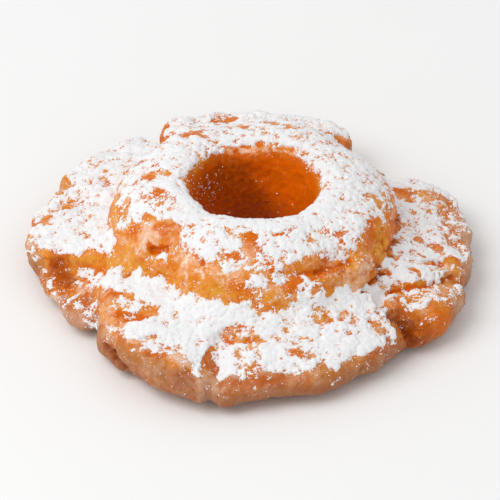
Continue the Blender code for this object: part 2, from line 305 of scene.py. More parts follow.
# Where the crust is torn and crumbly, whose amount is the height of the crumbs
CRAGS = (
    Streak("lobe", ((-60, 28.6, 17.8), (-48, 30.2, 17.0), (-38, 31.0, 15.4)), 2.6, 0.6),
    Streak("right pit", ((-22, 28.6, 18.6), (-26, 29.8, 16.2)), 2.2, 0.6),
    Streak("crown, right", ((-8, 28.4, 20.0), (-9, 29.9, 17.6)), 1.6, 0.4),
    Streak("slot", ((-33, 35.4, 9.6), (-24, 39.8, 9.6), (-15, 44.2, 8.2)), 1.4, 0.35),
    Streak("gap", ((-43, 37.0, 9.2), (-43, 43.0, 5.0)), 1.6, 0.35),
    Streak("right edge", ((-12, 41.0, 9.4), (-12, 45.6, 8.0)), 1.6, 0.35),
    Streak("left hollow", ((-172, 43.6, 7.6), (-166, 39.6, 7.4), (-160, 38.0, 7.6)), 2.2, 0.4),
    Streak("ledge", ((-135, 40.8, 10.6), (-126, 38.0, 12.0)), 1.4, 0.3),
    Streak("crack", ((-133, 44.6, 5.6), (-127, 45.4, 3.6)), 1.6, 0.6),
    Streak("hole wall", ((0, 0.0, 12.0), (0, 0.0, 21.0)), 12.0, 0.35),
    Streak("crown pit", ((-141, 27.4, 18.6),), 2.2, 0.3),
    Streak("front groove", ((-96, 35.9, 10.2), (-88, 35.9, 11.2)), 1.2, 0.3),
    Streak("back right knob", ((62, 39.8, 10.7),), 2.0, 0.3),
)

# Where the sugar lies thinner than elsewhere, with the cover there as the amount
BARE = (
    Streak("left shoulder", ((172, 22.3, 23.3), (173, 18.9, 25.8)), 1.5, -1.0),
    Streak("left shoulder crumbs", ((-165, 20.9, 24.6),), 3.4, -0.1),
    Streak(
        "left crown edge",
        ((160, 28.6, 18.6), (177, 29.6, 18.6), (-173, 28.8, 17.6), (-164, 30.0, 17.4)),
        0.9, -1.0,
    ),
    Streak("face, upper left", ((-156, 24.6, 23.0), (-147, 23.6, 22.9), (-137, 23.2, 22.8)), 1.6, -1.6),
    Streak("face, left", ((-156, 29.4, 17.6), (-148, 27.4, 20.3), (-138, 25.2, 21.8)), 2.6, -1.6),
    Streak(
        "face, lower left",
        ((-147, 29.6, 16.6), (-135, 27.8, 17.8), (-122, 27.4, 19.0), (-110, 28.2, 19.5)),
        3.2, -1.6,
    ),
    Streak("face, middle", ((-107, 27.8, 20.2), (-96, 28.2, 20.0), (-80, 29.0, 18.8)), 2.2, -1.4),
    Streak("face, middle", ((-114, 25.9, 22.0), (-104, 26.9, 21.4)), 1.0, -1.1),
    Streak("bulge", ((-77, 27.0, 19.6), (-74, 28.8, 19.4), (-79, 29.8, 16.1)), 1.8, -1.2),
    Streak("wedge", ((-94, 20.8, 24.2), (-90, 23.1, 24.7), (-90, 25.0, 23.0)), 1.7, -1.1),
    Streak("wedge foot", ((-101, 25.0, 22.4), (-86, 24.4, 22.8)), 1.6, -0.9),
    Streak("speck", ((-75, 19.4, 25.3),), 0.9, -0.7),
    Streak("speck", ((-57, 23.2, 23.2),), 1.3, -0.8),
    Streak("speck", ((-43, 24.5, 22.8),), 1.3, -0.7),
    Streak("right pit", ((-23, 27.8, 20.0), (-25, 28.9, 17.7), (-28, 30.0, 16.1)), 2.4, -1.5),
    Streak("right shoulder", ((-6, 25.4, 22.6), (-8, 27.4, 21.0), (-9, 29.3, 18.9)), 1.2, -1.0),
    Streak("lobe", ((-64, 26.4, 19.8), (-58, 27.8, 18.4), (-46, 28.6, 18.2), (-39, 31.1, 17.3)), 2.2, -1.4),
    Streak(
        "face foot",
        ((-150, 30.8, 14.6), (-135, 29.6, 15.0), (-122, 29.4, 15.6), (-110, 29.8, 17.0)),
        1.4, -1.2,
    ),
    Streak(
        "bulge foot",
        ((-110, 29.8, 17.0), (-95, 30.0, 16.8), (-80, 30.8, 15.6), (-62, 31.0, 14.6)),
        1.2, -1.2,
    ),
    Streak("lobe foot", ((-62, 31.0, 14.6), (-45, 31.4, 13.8)), 1.6, -1.0),
    Streak("left foot", ((-160, 32.0, 12.2), (-152, 31.4, 13.6), (-143, 30.0, 14.8)), 1.4, -1.2),
    Streak(
        "far rim",
        ((111, 13.4, 23.4), (95, 13.0, 23.6), (86, 13.9, 24.2), (63, 13.6, 22.9), (47, 12.9, 24.0)),
        1.0, -1.3,
    ),
    Streak("back crag", ((103, 41.8, 11.2),), 1.2, -1.1),
    Streak("back crag", ((98, 43.2, 9.8), (95, 43.2, 9.4)), 1.3, -1.3),
    Streak("back crown", ((98, 22.1, 23.3), (96, 20.8, 22.9)), 1.2, -1.2),
    Streak("back crown", ((129, 23.7, 24.5), (124, 21.3, 24.6)), 1.6, -1.4),
    Streak("back crown", ((118, 21.9, 25.0),), 1.1, -1.2),
    Streak("back crown", ((80, 24.6, 23.9), (80, 22.9, 24.0)), 1.1, -1.1),
    Streak("back crown", ((71, 22.5, 25.6), (68, 19.8, 25.3)), 1.1, -1.1),
    Streak("back left knob", ((117, 44.6, 8.9), (117, 43.8, 11.0)), 1.2, -1.3),
    Streak("back crown", ((55, 19.6, 25.3),), 0.8, -0.7),
    Streak("back crown", ((49, 23.5, 23.5),), 1.0, -0.7),
    Streak("back right knob", ((65, 38.3, 11.4), (63, 39.2, 10.3), (60, 40.2, 8.0)), 1.5, -1.3),
    Streak("left back knob", ((157, 45.5, 9.6), (153, 47.0, 8.6)), 1.7, -1.4),
    Streak("left back spot", ((150, 37.5, 11.7),), 1.1, -0.7),
    Streak("left knob", ((174, 47.5, 8.8), (173, 45.0, 10.4)), 1.5, -1.3),
    Streak("left rim", ((-179, 48.0, 8.8), (-176, 46.8, 9.4)), 1.0, -0.3),
    Streak("left spots", ((167, 42.7, 10.3), (162, 39.6, 10.4)), 1.4, -0.1),
    Streak(
        "left band",
        ((-172, 43.6, 8.6), (-170, 40.9, 8.6), (-167, 37.9, 9.4), (-162, 33.4, 10.9)),
        1.5, -1.5,
    ),
    Streak(
        "left shelf",
        ((-168, 43.6, 5.6), (-162, 40.4, 6.6), (-154, 41.4, 5.6), (-148, 41.7, 4.9)),
        3.4, -1.1,
    ),
    Streak("front left end", ((-143, 39.2, 11.4), (-138, 41.6, 10.4), (-135, 44.0, 6.8)), 1.8, -1.4),
    Streak("front left top", ((-141, 37.6, 12.8), (-136, 36.4, 12.9)), 1.6, -0.4),
    Streak(
        "ledge", ((-133, 40.8, 10.2), (-131, 39.9, 10.4), (-129, 36.9, 11.8), (-125, 35.2, 12.2)), 1.3, -1.4
    ),
    Streak("front left brow", ((-131, 44.8, 8.8), (-126, 45.6, 10.0)), 1.5, -1.2),
    Streak(
        "front left rim",
        (
            (-128, 46.6, 7.4), (-117, 46.4, 10.0), (-111, 45.2, 9.8),
            (-108, 45.2, 9.0), (-104, 47.2, 8.0), (-102, 48.6, 6.0),
        ),
        1.9, -1.7,
    ),
    Streak(
        "dimple", ((-102, 40.3, 8.7), (-103, 42.0, 7.5), (-101, 45.6, 6.0), (-101, 47.8, 5.4)), 1.2, -1.6
    ),
    Streak("front groove", ((-99, 35.9, 10.0), (-92, 37.8, 10.6), (-87, 35.8, 11.6)), 1.1, -1.3),
    Streak("front gap", ((-95, 39.4, 8.6), (-95, 42.0, 8.4)), 0.8, -1.0),
    Streak("front gap", ((-90, 37.0, 10.2), (-90, 41.6, 9.2)), 0.7, -0.9),
    Streak(
        "front rim",
        ((-100, 47.6, 6.2), (-95, 46.0, 7.2), (-88, 44.9, 7.3), (-83, 44.8, 7.5), (-77, 46.0, 7.8)),
        1.9, -1.6,
    ),
    Streak("front spot", ((-77, 40.4, 10.0), (-74, 41.6, 9.6)), 1.3, -1.1),
    Streak(
        "front right rim",
        ((-74, 45.0, 7.8), (-68, 46.6, 5.6), (-60, 45.7, 5.4), (-46, 43.9, 4.6)),
        1.4, -1.0,
    ),
    Streak("front right crack", ((-69, 33.9, 12.0), (-63, 34.6, 11.6), (-56, 35.2, 11.6)), 1.1, -0.9),
    Streak("front right spots", ((-51, 39.7, 10.0), (-49, 42.0, 9.0)), 1.4, -0.6),
    Streak("front right end", ((-48, 43.6, 6.6), (-45, 42.9, 5.8)), 1.4, -1.0),
    Streak("gap", ((-40, 35.6, 9.4), (-41, 37.0, 9.0), (-44, 40.0, 8.2), (-44, 43.0, 4.6)), 1.3, -1.6),
    Streak("right front shade", ((-39, 38.6, 9.0), (-41, 41.0, 7.8)), 1.5, -1.1),
    Streak("right front face", ((-38, 41.6, 8.2), (-33, 44.2, 8.7), (-27, 46.8, 8.2)), 2.4, -1.6),
    Streak("right front top", ((-32, 36.6, 10.2), (-28, 39.8, 10.2), (-24, 43.6, 9.2)), 2.0, -0.25),
    Streak(
        "slot",
        ((-35, 33.8, 9.4), (-30, 35.8, 10.2), (-25, 39.6, 10.2), (-19, 43.0, 8.9), (-16, 44.6, 7.9)),
        1.0, -1.6,
    ),
    Streak("right petal", ((16, 42.0, 10.2), (9, 44.0, 8.4), (1, 41.0, 10.0), (-2, 44.0, 9.3)), 2.6, -0.2),
    Streak(
        "right back crag", ((26, 36.6, 9.7), (23, 35.8, 9.9), (21, 37.4, 11.0), (22, 39.2, 10.7)), 1.4, -1.4
    ),
    Streak("right back rim", ((22, 42.4, 10.2), (19, 44.4, 8.8), (12, 45.8, 8.0)), 1.6, -0.6),
    Streak("right rim", ((5, 46.2, 7.9), (0, 45.6, 8.2)), 1.6, -0.8),
    Streak("right spots", ((23, 35.6, 10.4), (16, 38.0, 10.4)), 1.6, -0.3),
    Streak("right front rim", ((-13, 39.5, 9.8), (-12, 42.6, 9.6), (-12, 45.3, 8.6)), 1.5, -1.1),
)

# Where it lies thicker, or clings to a wall, again with the cover there
DRIFTS = (
    Streak(
        "near rim", ((-165, 16.0, 25.4), (-120, 16.0, 25.6), (-75, 16.0, 25.7), (-30, 16.4, 25.6)), 2.8, 1.2
    ),
    Streak("face clump", ((-101, 25.7, 21.8),), 1.4, 0.5),
    Streak("face clump", ((-86, 24.8, 22.4),), 1.4, 0.5),
    Streak("face clump", ((-80, 27.0, 20.9), (-80, 28.0, 20.1)), 1.7, 0.5),
    Streak("face clump", ((-88, 28.3, 19.8), (-86, 28.9, 19.4)), 1.3, 0.7),
    Streak("face spot", ((-90, 28.7, 18.6),), 1.0, 0.5),
    Streak("face clump", ((-89, 30.8, 16.4),), 0.8, 0.5),
    Streak("bulge clump", ((-69, 29.8, 17.8), (-70, 30.5, 16.8)), 1.3, 0.7),
    Streak("pit sugar", ((-140, 27.6, 17.8), (-137, 26.0, 18.5)), 0.8, 0.7),
    Streak("lobe top", ((-58, 25.0, 20.8), (-52, 25.6, 21.3), (-42, 27.2, 21.8)), 1.5, 0.6),
    Streak("right shoulder drift", ((9, 29.1, 18.7), (-8, 27.9, 21.0)), 1.1, 0.4),
    Streak("left foot", ((-167, 29.7, 17.8), (-161, 29.0, 18.5)), 1.0, 0.5),
    Streak(
        "crown foot, left",
        ((164, 31.8, 12.4), (174, 31.9, 13.4), (-172, 31.5, 14.4), (-165, 31.5, 13.9)),
        1.5, 0.9,
    ),
    Streak(
        "back ridge",
        ((-152, 36.6, 12.2), (-147, 35.0, 13.0), (-139, 31.6, 14.2), (-134, 29.8, 13.8)),
        1.9, 1.2,
    ),
    Streak(
        "valley", ((-139, 32.0, 13.6), (-131, 32.9, 13.3), (-113, 33.0, 13.8), (-97, 32.4, 14.0)), 2.1, 1.2
    ),
    Streak("valley", ((-97, 32.4, 14.0), (-83, 33.2, 12.6)), 1.9, 1.2),
    Streak(
        "valley right",
        (
            (-80, 33.0, 12.6), (-72, 31.4, 14.9), (-61, 31.0, 14.5),
            (-53, 32.1, 13.7), (-44, 33.0, 10.6), (-38, 32.2, 9.8),
        ),
        1.7, 1.0,
    ),
    Streak("right drift", ((-38, 33.2, 12.4), (-23, 32.9, 12.8), (-10, 32.4, 12.9)), 2.4, 1.0),
    Streak("right lip", ((-31, 34.4, 10.9), (-25, 37.4, 11.2), (-19, 40.0, 10.5)), 1.1, 1.0),
    Streak("left lump", ((-166, 44.1, 5.9),), 1.2, 0.6),
    Streak("left lump", ((-165, 37.5, 7.4),), 1.2, 0.5),
    Streak("left lump", ((-162, 39.5, 7.0),), 0.8, 0.5),
    Streak("shelf clump", ((-157, 41.0, 5.2),), 0.9, 0.4),
    Streak("shelf clump", ((-153, 41.6, 6.0),), 1.1, 0.5),
    Streak("shelf dusting", ((-149, 40.0, 6.9), (-142, 41.0, 8.1), (-146, 41.2, 3.6)), 1.8, -0.15),
    Streak("shelf clump", ((-148, 40.2, 6.9),), 0.8, 0.5),
    Streak("shelf clump", ((-146, 41.6, 3.4),), 1.1, 0.4),
    Streak("front left field", ((-120, 38.6, 12.2), (-109, 37.4, 10.9), (-103, 34.9, 11.4)), 2.6, 1.1),
    Streak("front left field", ((-107, 39.1, 10.6), (-106, 40.8, 9.0)), 1.3, 0.9),
    Streak("front left lobe", ((-125, 43.0, 11.0), (-121, 43.4, 10.6), (-120, 41.0, 11.4)), 1.6, 0.7),
    Streak("front left corner", ((-134, 42.8, 8.6), (-131, 42.6, 9.8)), 1.1, 0.4),
    Streak("dimple sugar", ((-106, 43.0, 9.0),), 0.9, 0.6),
    Streak("hole, left wall", ((160, 13.0, 20.6), (147, 11.9, 16.2)), 2.6, -1.15),
    Streak("front blob", ((-99, 38.6, 9.3), (-97, 42.3, 9.0), (-98, 44.0, 7.8)), 1.4, 0.9),
    Streak("front blob", ((-93, 38.7, 9.5), (-93, 42.4, 7.9)), 1.2, 0.8),
    Streak("front blob", ((-85, 39.6, 9.6), (-83, 41.8, 8.4), (-79, 43.0, 8.0)), 1.8, 0.9),
    Streak("front foot spot", ((-90, 44.5, 7.8),), 0.8, 0.6),
    Streak("front foot spot", ((-85, 45.0, 7.4),), 0.6, 0.5),
    Streak("front right field", ((-69, 39.7, 10.8), (-62, 41.2, 9.3), (-57, 41.5, 8.9)), 2.6, 1.1),
    Streak("front right end", ((-53, 42.4, 8.8), (-47, 42.0, 8.3)), 1.6, 0.9),
    Streak("front right tongue", ((-68, 44.4, 8.0),), 1.3, 1.5),
    Streak("front right foot", ((-68, 46.2, 5.0),), 0.7, 0.5),
    Streak("right front spots", ((-36, 37.6, 10.0), (-33, 39.2, 10.1)), 1.2, 0.4),
    Streak("right front spots", ((-25, 44.3, 8.4),), 1.1, 0.4),
    Streak("left rim drift", ((-177, 48.6, 7.6), (-174, 47.6, 8.2)), 1.4, 0.2),
    Streak("right petal drift", ((18, 38.6, 10.3), (8, 37.6, 10.6), (-2, 37.0, 11.2)), 2.6, 0.6),
)

# The thinnest bare lines and spots, whose amount is the cover there once more
GAPS = (
    Streak(
        "slot",
        ((-34, 33.4, 8.8), (-30, 35.4, 10.3), (-28, 38.4, 10.4), (-25, 39.8, 10.2), (-17, 44.0, 8.2)),
        0.8, -1.8,
    ),
    Streak("slot, end", ((-24, 40.8, 9.6), (-16, 44.4, 8.0)), 1.1, -1.7),
    Streak("slot, below", ((-36, 37.7, 10.1), (-36, 37.8, 10.6)), 0.7, -1.4),
    Streak("lobe, right", ((-34, 30.3, 15.5), (-33, 30.1, 13.5)), 0.7, -1.8),
    Streak("lobe, foot", ((-30, 32.7, 11.8), (-34, 30.7, 12.6)), 0.8, -1.8),
    Streak("lobe, foot", ((-45, 32.8, 10.5), (-46, 32.8, 11.5)), 0.6, -1.5),
    Streak("pit, foot", ((-22, 31.6, 15.7), (-20, 32.1, 14.8)), 0.7, -1.7),
    Streak("pit, foot", ((-21, 31.4, 15.1), (-18, 30.1, 13.3), (-11, 30.2, 14.1)), 0.7, -1.6),
    Streak("crown, right foot", ((4, 31.2, 12.9), (-4, 30.2, 14.9)), 0.7, -1.6),
    Streak("crown, right", ((-9, 28.3, 20.5), (-8, 29.0, 19.0), (-9, 29.9, 17.6)), 0.8, -1.3),
    Streak("right spot", ((5, 34.1, 12.7), (2, 34.0, 12.5)), 0.5, -1.4),
    Streak("right spot", ((-24, 37.1, 11.3), (-25, 36.7, 11.3)), 0.5, -1.4),
    Streak("right spot", ((-3, 34.2, 11.7), (-5, 36.2, 9.7)), 0.8, -1.2),
    Streak("right spot", ((-13, 36.6, 11.6),), 0.6, -1.4),
    Streak("right spot", ((11, 35.2, 12.0),), 0.7, -1.3),
    Streak("right spot", ((-6, 38.2, 9.8), (-6, 38.9, 9.7)), 0.9, -0.7),
    Streak("right spot", ((-10, 32.0, 13.6), (-8, 34.0, 13.1)), 0.4, -1.2),
    Streak("right petal, middle", ((1, 37.7, 12.0), (5, 39.6, 9.0), (4, 41.9, 8.7)), 1.0, -0.4),
    Streak("right petal, outer", ((11, 39.8, 10.2), (16, 42.6, 10.1)), 1.2, -0.35),
    Streak("right petal, back", ((19, 40.6, 10.2), (21, 42.4, 10.2)), 0.9, -0.6),
    Streak("ledge hole", ((-16, 37.8, 10.7), (-13, 38.9, 10.2)), 0.8, -1.4),
    Streak("front left wall", ((-117, 47.4, 9.0), (-112, 48.0, 8.5), (-107, 48.0, 7.2)), 1.2, -1.5),
    Streak("front wall", ((-96, 47.6, 6.1), (-91, 46.3, 5.6), (-85, 46.1, 5.6)), 1.1, -1.5),
    Streak("under the ledge", ((-19, 39.7, 10.8), (-17, 40.6, 9.7), (-15, 42.3, 9.7)), 0.8, -1.0),
)


class Note(Enum):
    """What else than the tints a skin keeps of each point, as the name of the attribute."""

    MARGIN = "margin"
    OPEN = "open"
    SPECKS = "specks"
    CAVITY = "cavity"
    VEINS = "veins"


class Tone(Enum):
    """What a tint does to the crust, as the name of the attribute that holds it."""

    GLAZE = "glaze"
    GOLD = "gold"
    # Deep saturated orange of pits, cracks and the hole: partly the crust's own colour, partly painted
    # shade.
    DEEP_AND_SHADE = "deep_and_shade"
    # Painted shade: dark brown in gaps, cracks, creases, under the lip and at the back of the hole.
    PAINTED_SHADE = "painted_shade"
    # Painted light: a bright orange glow on the lit side of the hole.
    PAINTED_GLOW = "painted_glow"
    # Darker, browner low walls: partly the crust's own colour, partly painted shade.
    FOOT_AND_SHADE = "foot"


TINTS = {
    Tone.GLAZE: (
        Streak("face, left", ((-150, 25.5, 22.3), (-148, 27.4, 20.5), (-146, 28.5, 18.7)), 1.5, 0.9),
        Streak("face, middle", ((-127, 24.4, 21.4), (-126, 26.0, 19.6), (-123, 27.4, 18.2)), 1.8, 0.4),
        Streak("face, right", ((-116, 26.8, 19.9), (-112, 28.0, 19.2), (-106, 28.0, 20.0)), 1.4, 0.2),
        Streak("wedge", ((-92, 22.6, 24.0), (-93, 24.8, 22.6)), 1.6, 1.0),
        Streak(
            "far rim",
            ((112, 14.0, 23.5), (93, 13.2, 23.8), (82, 12.9, 23.8), (65, 13.3, 24.0), (50, 13.9, 24.2)),
            0.8, 2.2,
        ),
        Streak("far rim, tongue", ((100, 13.4, 23.4), (96, 12.5, 23.1), (92, 11.9, 22.6)), 0.7, 2.2),
        Streak("over the pit", ((-148, 25.8, 22.1), (-145, 26.4, 21.2), (-143, 25.8, 21.4)), 1.3, 1.1),
        Streak("under the ledge", ((-17, 39.1, 10.3), (-16, 40.5, 9.9), (-14, 41.9, 9.4)), 0.9, 1.4),
        Streak("front left end", ((-142, 39.2, 11.4), (-137, 42.4, 9.0), (-134, 44.6, 5.0)), 2.6, 0.3),
        Streak("front left wall", ((-126, 46.4, 6.6), (-116, 48.5, 6.2), (-107, 48.7, 5.0)), 2.6, 0.2),
        Streak("shelf", ((-163, 42.5, 5.5), (-152, 41.5, 5.0)), 4.0, -0.7),
        Streak("right pit", ((-24, 28.0, 19.4), (-26, 29.6, 16.6)), 2.6, -0.4),
        Streak("crown pit", CROWN_PIT, 0.9, -1.5),
        Streak("front left film", ((-127, 43.6, 10.8), (-121, 43.8, 10.6)), 1.6, 1.2),
        Streak("front left film", ((-112, 43.6, 10.2), (-109, 43.8, 9.8), (-106, 44.6, 8.8)), 1.4, 1.2),
        Streak("cleft", ((-102, 46.4, 7.0), (-102, 48.4, 5.3), (-101, 48.2, 2.6)), 1.5, 1.8),
        Streak("shelf foot", ((-160, 45.6, 3.4), (-145, 43.6, 3.0)), 3.0, 2.0),
        Streak("shelf knob", ((-163, 39.6, 7.3), (-158, 39.1, 6.6)), 1.6, 1.0),
        Streak("left rim", ((-179, 47.4, 8.6),), 2.0, 1.2),
        Streak("lobe", ((-42, 31.0, 17.0), (-48, 30.6, 15.0)), 2.2, 1.3),
        Streak("ledge foot", ((-130, 41.4, 10.4), (-124, 40.4, 11.8)), 1.2, 0.8),
        Streak("front crack", ((-68, 34.6, 11.6), (-58, 35.6, 11.5)), 1.0, 1.0),
        Streak("slot band", ((-27, 39.6, 8.6), (-17, 43.6, 7.8)), 1.0, 0.8),
        Streak("right rim", ((-12, 47.4, 5.6), (2, 47.6, 5.6), (12, 45.6, 7.0)), 2.2, 1.0),
        Streak("right front end", ((-25, 46.6, 6.6), (-23, 46.8, 4.0)), 2.0, 1.0),
        Streak("right front face", ((-42, 43.0, 5.6), (-34, 46.6, 5.6)), 4.0, -0.7),
        Streak("left band", ((-172, 43.6, 7.6), (-166, 38.0, 8.4), (-162, 34.4, 9.8)), 2.6, -1.0),
    ),
    Tone.GOLD: (
        Streak("face foot", ((-152, 30.4, 14.8), (-130, 29.2, 15.0), (-105, 30.2, 16.6)), 2.6, 0.7),
        Streak("bulge foot", ((-105, 30.2, 16.4), (-76, 30.8, 15.0), (-55, 31.0, 14.2)), 2.2, 0.7),
        Streak("face hollow", ((-152, 29.0, 18.5), (-152, 29.9, 17.1)), 1.3, 0.9),
        Streak("lobe", ((-46, 29.8, 18.4), (-44, 31.2, 16.6), (-48, 30.8, 14.4)), 2.2, 0.9),
        Streak("right pit", ((-24, 28.6, 18.3), (-27, 29.8, 16.5)), 2.4, 1.1),
        Streak("crown pit", ((-144, 27.8, 17.4), (-138, 27.0, 18.2)), 1.2, 0.6),
        Streak("left edge", ((161, 28.6, 19.0), (176, 29.4, 18.8), (-170, 29.8, 17.0)), 1.6, 0.8),
        Streak("left band", ((-168, 39.5, 9.0), (-166, 36.9, 10.0), (-164, 34.6, 10.2)), 1.4, 1.0),
        Streak("left rim", ((-176, 46.8, 5.9), (-174, 44.9, 5.9)), 1.3, 0.9),
        Streak("left foot", ((-160, 32.4, 11.8), (-148, 31.4, 13.4)), 2.2, 0.8),
        Streak("shelf knob", ((-161, 39.4, 6.7),), 0.7, 1.0),
        Streak("slot", ((-31, 36.2, 9.8), (-24, 39.9, 9.6), (-15, 44.4, 8.0)), 1.4, 1.0),
        Streak(
            "right edge", ((-12, 41.1, 9.6), (-11, 42.6, 9.8), (-14, 44.4, 9.3), (-14, 45.1, 8.8)), 1.1, 1.0
        ),
        Streak("front groove", ((-95, 35.9, 10.4), (-87, 36.0, 11.2)), 1.2, 0.9),
        Streak("front right crack", ((-66, 32.8, 12.7), (-66, 34.4, 11.8)), 0.9, 1.0),
        Streak("right back crag", ((24, 37.0, 10.4), (21, 38.6, 10.4)), 1.6, 0.6),
    ),
    # Deep orange in pits, cracks, hollows and the hole: partly the crust's own colour, partly painted shade
    # under the lip, in hollows and on the downward front wall.
    Tone.DEEP_AND_SHADE: (
        Streak("crown pit", CROWN_PIT, 0.9, 1.4),
        Streak("back crown", ((129, 22.5, 24.3), (125, 21.3, 24.7), (120, 21.8, 24.3)), 1.4, 0.8),
        Streak("back crag", ((98, 42.7, 10.3), (96, 42.7, 10.4)), 1.4, 0.6),
        Streak("back right knob", ((62, 39.0, 11.2), (60, 39.8, 9.8)), 1.0, 0.6),
        Streak("face hollow", ((-144, 23.4, 23.4), (-142, 24.4, 22.5)), 0.8, 0.7),
        Streak("face hollow", ((-137, 24.7, 21.5), (-137, 25.4, 20.8)), 0.8, 0.6),
        Streak("pinhole", ((-115, 25.6, 21.3),), 0.7, 1.2),
        Streak("face hollow", ((-102, 24.3, 22.8), (-97, 24.5, 22.7)), 1.1, 0.9),
        Streak("wedge", ((-94, 20.6, 24.8), (-91, 21.4, 24.4)), 1.2, 0.8),
        Streak("under the lip", ((-60, 27.6, 19.0), (-53, 28.6, 18.8), (-48, 28.4, 18.9)), 0.9, 0.9),
        Streak("bulge", ((-70, 29.0, 18.6), (-60, 30.2, 16.6)), 1.6, 0.4),
        Streak(
            "face foot",
            ((-138, 29.6, 14.6), (-120, 29.0, 15.4), (-100, 30.2, 16.2), (-82, 31.0, 15.0)),
            0.9, 0.5,
        ),
        Streak("ledge", ((-135, 40.3, 11.2), (-131, 38.9, 11.3), (-126, 38.5, 12.4)), 1.1, 1.1),
        Streak("front left spot", ((-129, 45.0, 9.7), (-127, 45.0, 10.4)), 0.9, 0.9),
        Streak("front left brow", ((-122, 44.8, 10.3), (-115, 45.2, 9.8)), 0.7, 0.6),
        Streak("left hollow", ((-171, 42.9, 8.0), (-169, 42.1, 5.8), (-163, 42.3, 6.1)), 1.8, 1.1),
        Streak("left shelf", ((-157, 43.0, 4.6), (-152, 42.4, 3.6)), 1.4, 0.7),
        Streak("left band foot", ((-170, 40.4, 7.4), (-166, 36.8, 8.4), (-163, 34.2, 9.4)), 1.0, 0.7),
        Streak("dimple", ((-104, 40.6, 9.0), (-102, 42.6, 7.4)), 1.5, 0.7),
        Streak("front brow", ((-98, 46.0, 7.3), (-92, 46.0, 7.0), (-84, 45.0, 7.2)), 1.0, 0.8),
        Streak(
            "right pit, left shade", ((-27, 27.2, 20.8), (-28, 27.7, 19.4), (-31, 28.5, 19.0)), 1.4, 0.8
        ),
        Streak("front left crack", FRONT_LEFT_CRACK, 1.1, 1.2),
        Streak("slot", SLOT, 0.7, 1.2),
        Streak("slot, below", ((-36, 36.4, 10.1), (-36, 37.6, 9.9)), 0.7, 1.0),
        Streak("right back crag", ((27, 35.5, 10.4), (25, 36.0, 10.3), (23, 37.2, 10.4)), 1.0, 0.9),
        Streak("ledge hole", ((-15, 38.9, 10.1), (-13, 39.8, 9.6)), 0.8, 1.3),
        Streak("right front face", RIGHT_FRONT_FACE, 3.0, 0.6),
        Streak("lobe, upper left", ((-72, 28.0, 19.4), (-64, 27.6, 19.4)), 1.0, 0.6),
        Streak("right edge", ((-16, 45.4, 7.2), (-12, 47.0, 6.4)), 1.2, 0.7),
        Streak("front wall", ((-98, 47.6, 3.6), (-80, 46.6, 3.6), (-62, 45.6, 3.4)), 2.6, 0.25),
    ),
    # Painted shade: dark brown where shade falls in gaps, cracks, creases, under the lip and at the back of
    # the hole.
    Tone.PAINTED_SHADE: (
        Streak("gap", ((-44, 38.0, 10.0), (-42, 40.0, 9.0), (-41, 42.0, 7.4), (-41, 43.4, 4.4)), 1.4, 0.9),
        Streak("front left crack", ((-133, 44.5, 5.4), (-129, 44.9, 4.5), (-126, 45.1, 3.5)), 0.5, 0.8),
        Streak("left hollow", ((-171, 42.3, 7.8), (-169, 41.6, 6.2), (-164, 41.2, 6.4)), 2.2, 0.6),
        Streak("gap shade", ((-42, 39.6, 9.4), (-40, 42.6, 7.4), (-39, 44.6, 4.4)), 3.2, 0.6),
        Streak(
            "crown lip",
            ((-62, 27.4, 19.0), (-57, 27.1, 19.1), (-49, 27.6, 19.1), (-45, 28.0, 19.3)),
            0.4, 0.5,
        ),
        Streak("lobe, right", LOBE_RIGHT, 0.6, 1.0),
        Streak("lobe, foot", ((-31, 31.3, 12.5), (-37, 31.3, 12.3)), 0.7, 1.0),
        Streak("lobe, foot", ((-44, 32.3, 12.5), (-46, 32.1, 12.7)), 0.5, 0.8),
        Streak("pit, foot", PIT_FOOT, 0.7, 0.9),
        Streak("crown, right foot", CROWN_RIGHT_FOOT, 0.7, 0.9),
        Streak("hole, back", ((130, 12.4, 18.0), (110, 11.8, 16.0), (88, 11.2, 8.0)), 5.0, 0.4),
    ),
    # Painted light: a bright orange glow on the lit side of the hole.
    Tone.PAINTED_GLOW: (
        Streak("hole, right", ((62, 12.0, 19.4), (37, 12.4, 18.4), (15, 12.5, 19.0)), 6.0, 0.9),
        Streak("hole, low right", ((48, 11.0, 13.0), (38, 11.3, 12.4), (20, 11.0, 12.0)), 5.0, 0.4),
        Streak("hole, left edge", ((137, 13.6, 22.4), (165, 13.8, 21.4)), 1.2, 0.4),
        Streak("hole, back edge", ((131, 13.2, 22.8), (117, 12.9, 22.4), (103, 12.6, 22.2)), 1.0, 0.7),
    ),
    # Darker, browner low walls: partly the crust's own colour, partly painted shade on walls that face down.
    Tone.FOOT_AND_SHADE: (
        Streak(
            "front left wall",
            ((-127, 45.4, 8.6), (-119, 46.9, 8.7), (-112, 47.5, 8.3), (-106, 47.9, 7.2)),
            1.8, 0.45,
        ),
        Streak("left hollow", ((-172, 43.6, 7.6), (-166, 42.0, 6.4), (-160, 39.0, 7.0)), 3.0, -0.5),
        Streak("left shelf", ((-160, 43.4, 5.0), (-150, 42.0, 5.0)), 3.4, -0.3),
        Streak("left foot", ((-170, 47.0, 3.4), (-158, 46.0, 3.0)), 2.4, -0.4),
        Streak("right front face", RIGHT_FRONT_FACE, 3.4, -0.6),
    ),
}

# Where loose grains cling besides the edges of the drifts
SPECKS = (
    Streak("hole, left wall", ((162, 13.1, 20.6), (149, 12.2, 15.6), (135, 12.2, 17.6)), 3.2, 0.9),
    Streak("hole, back wall", ((85, 11.2, 17.0),), 2.0, 0.4),
    Streak(
        "hole, near rim",
        ((-170, 15.0, 25.0), (-130, 15.0, 25.2), (-90, 15.0, 25.2), (-50, 15.0, 25.2), (-15, 15.0, 25.0)),
        0.9, 1.0,
    ),
    Streak("shelf", ((-160, 43.0, 5.4), (-150, 41.6, 5.0)), 4.0, 0.6),
    Streak("right front face", ((-36, 45.0, 6.0),), 4.0, 0.1),
)


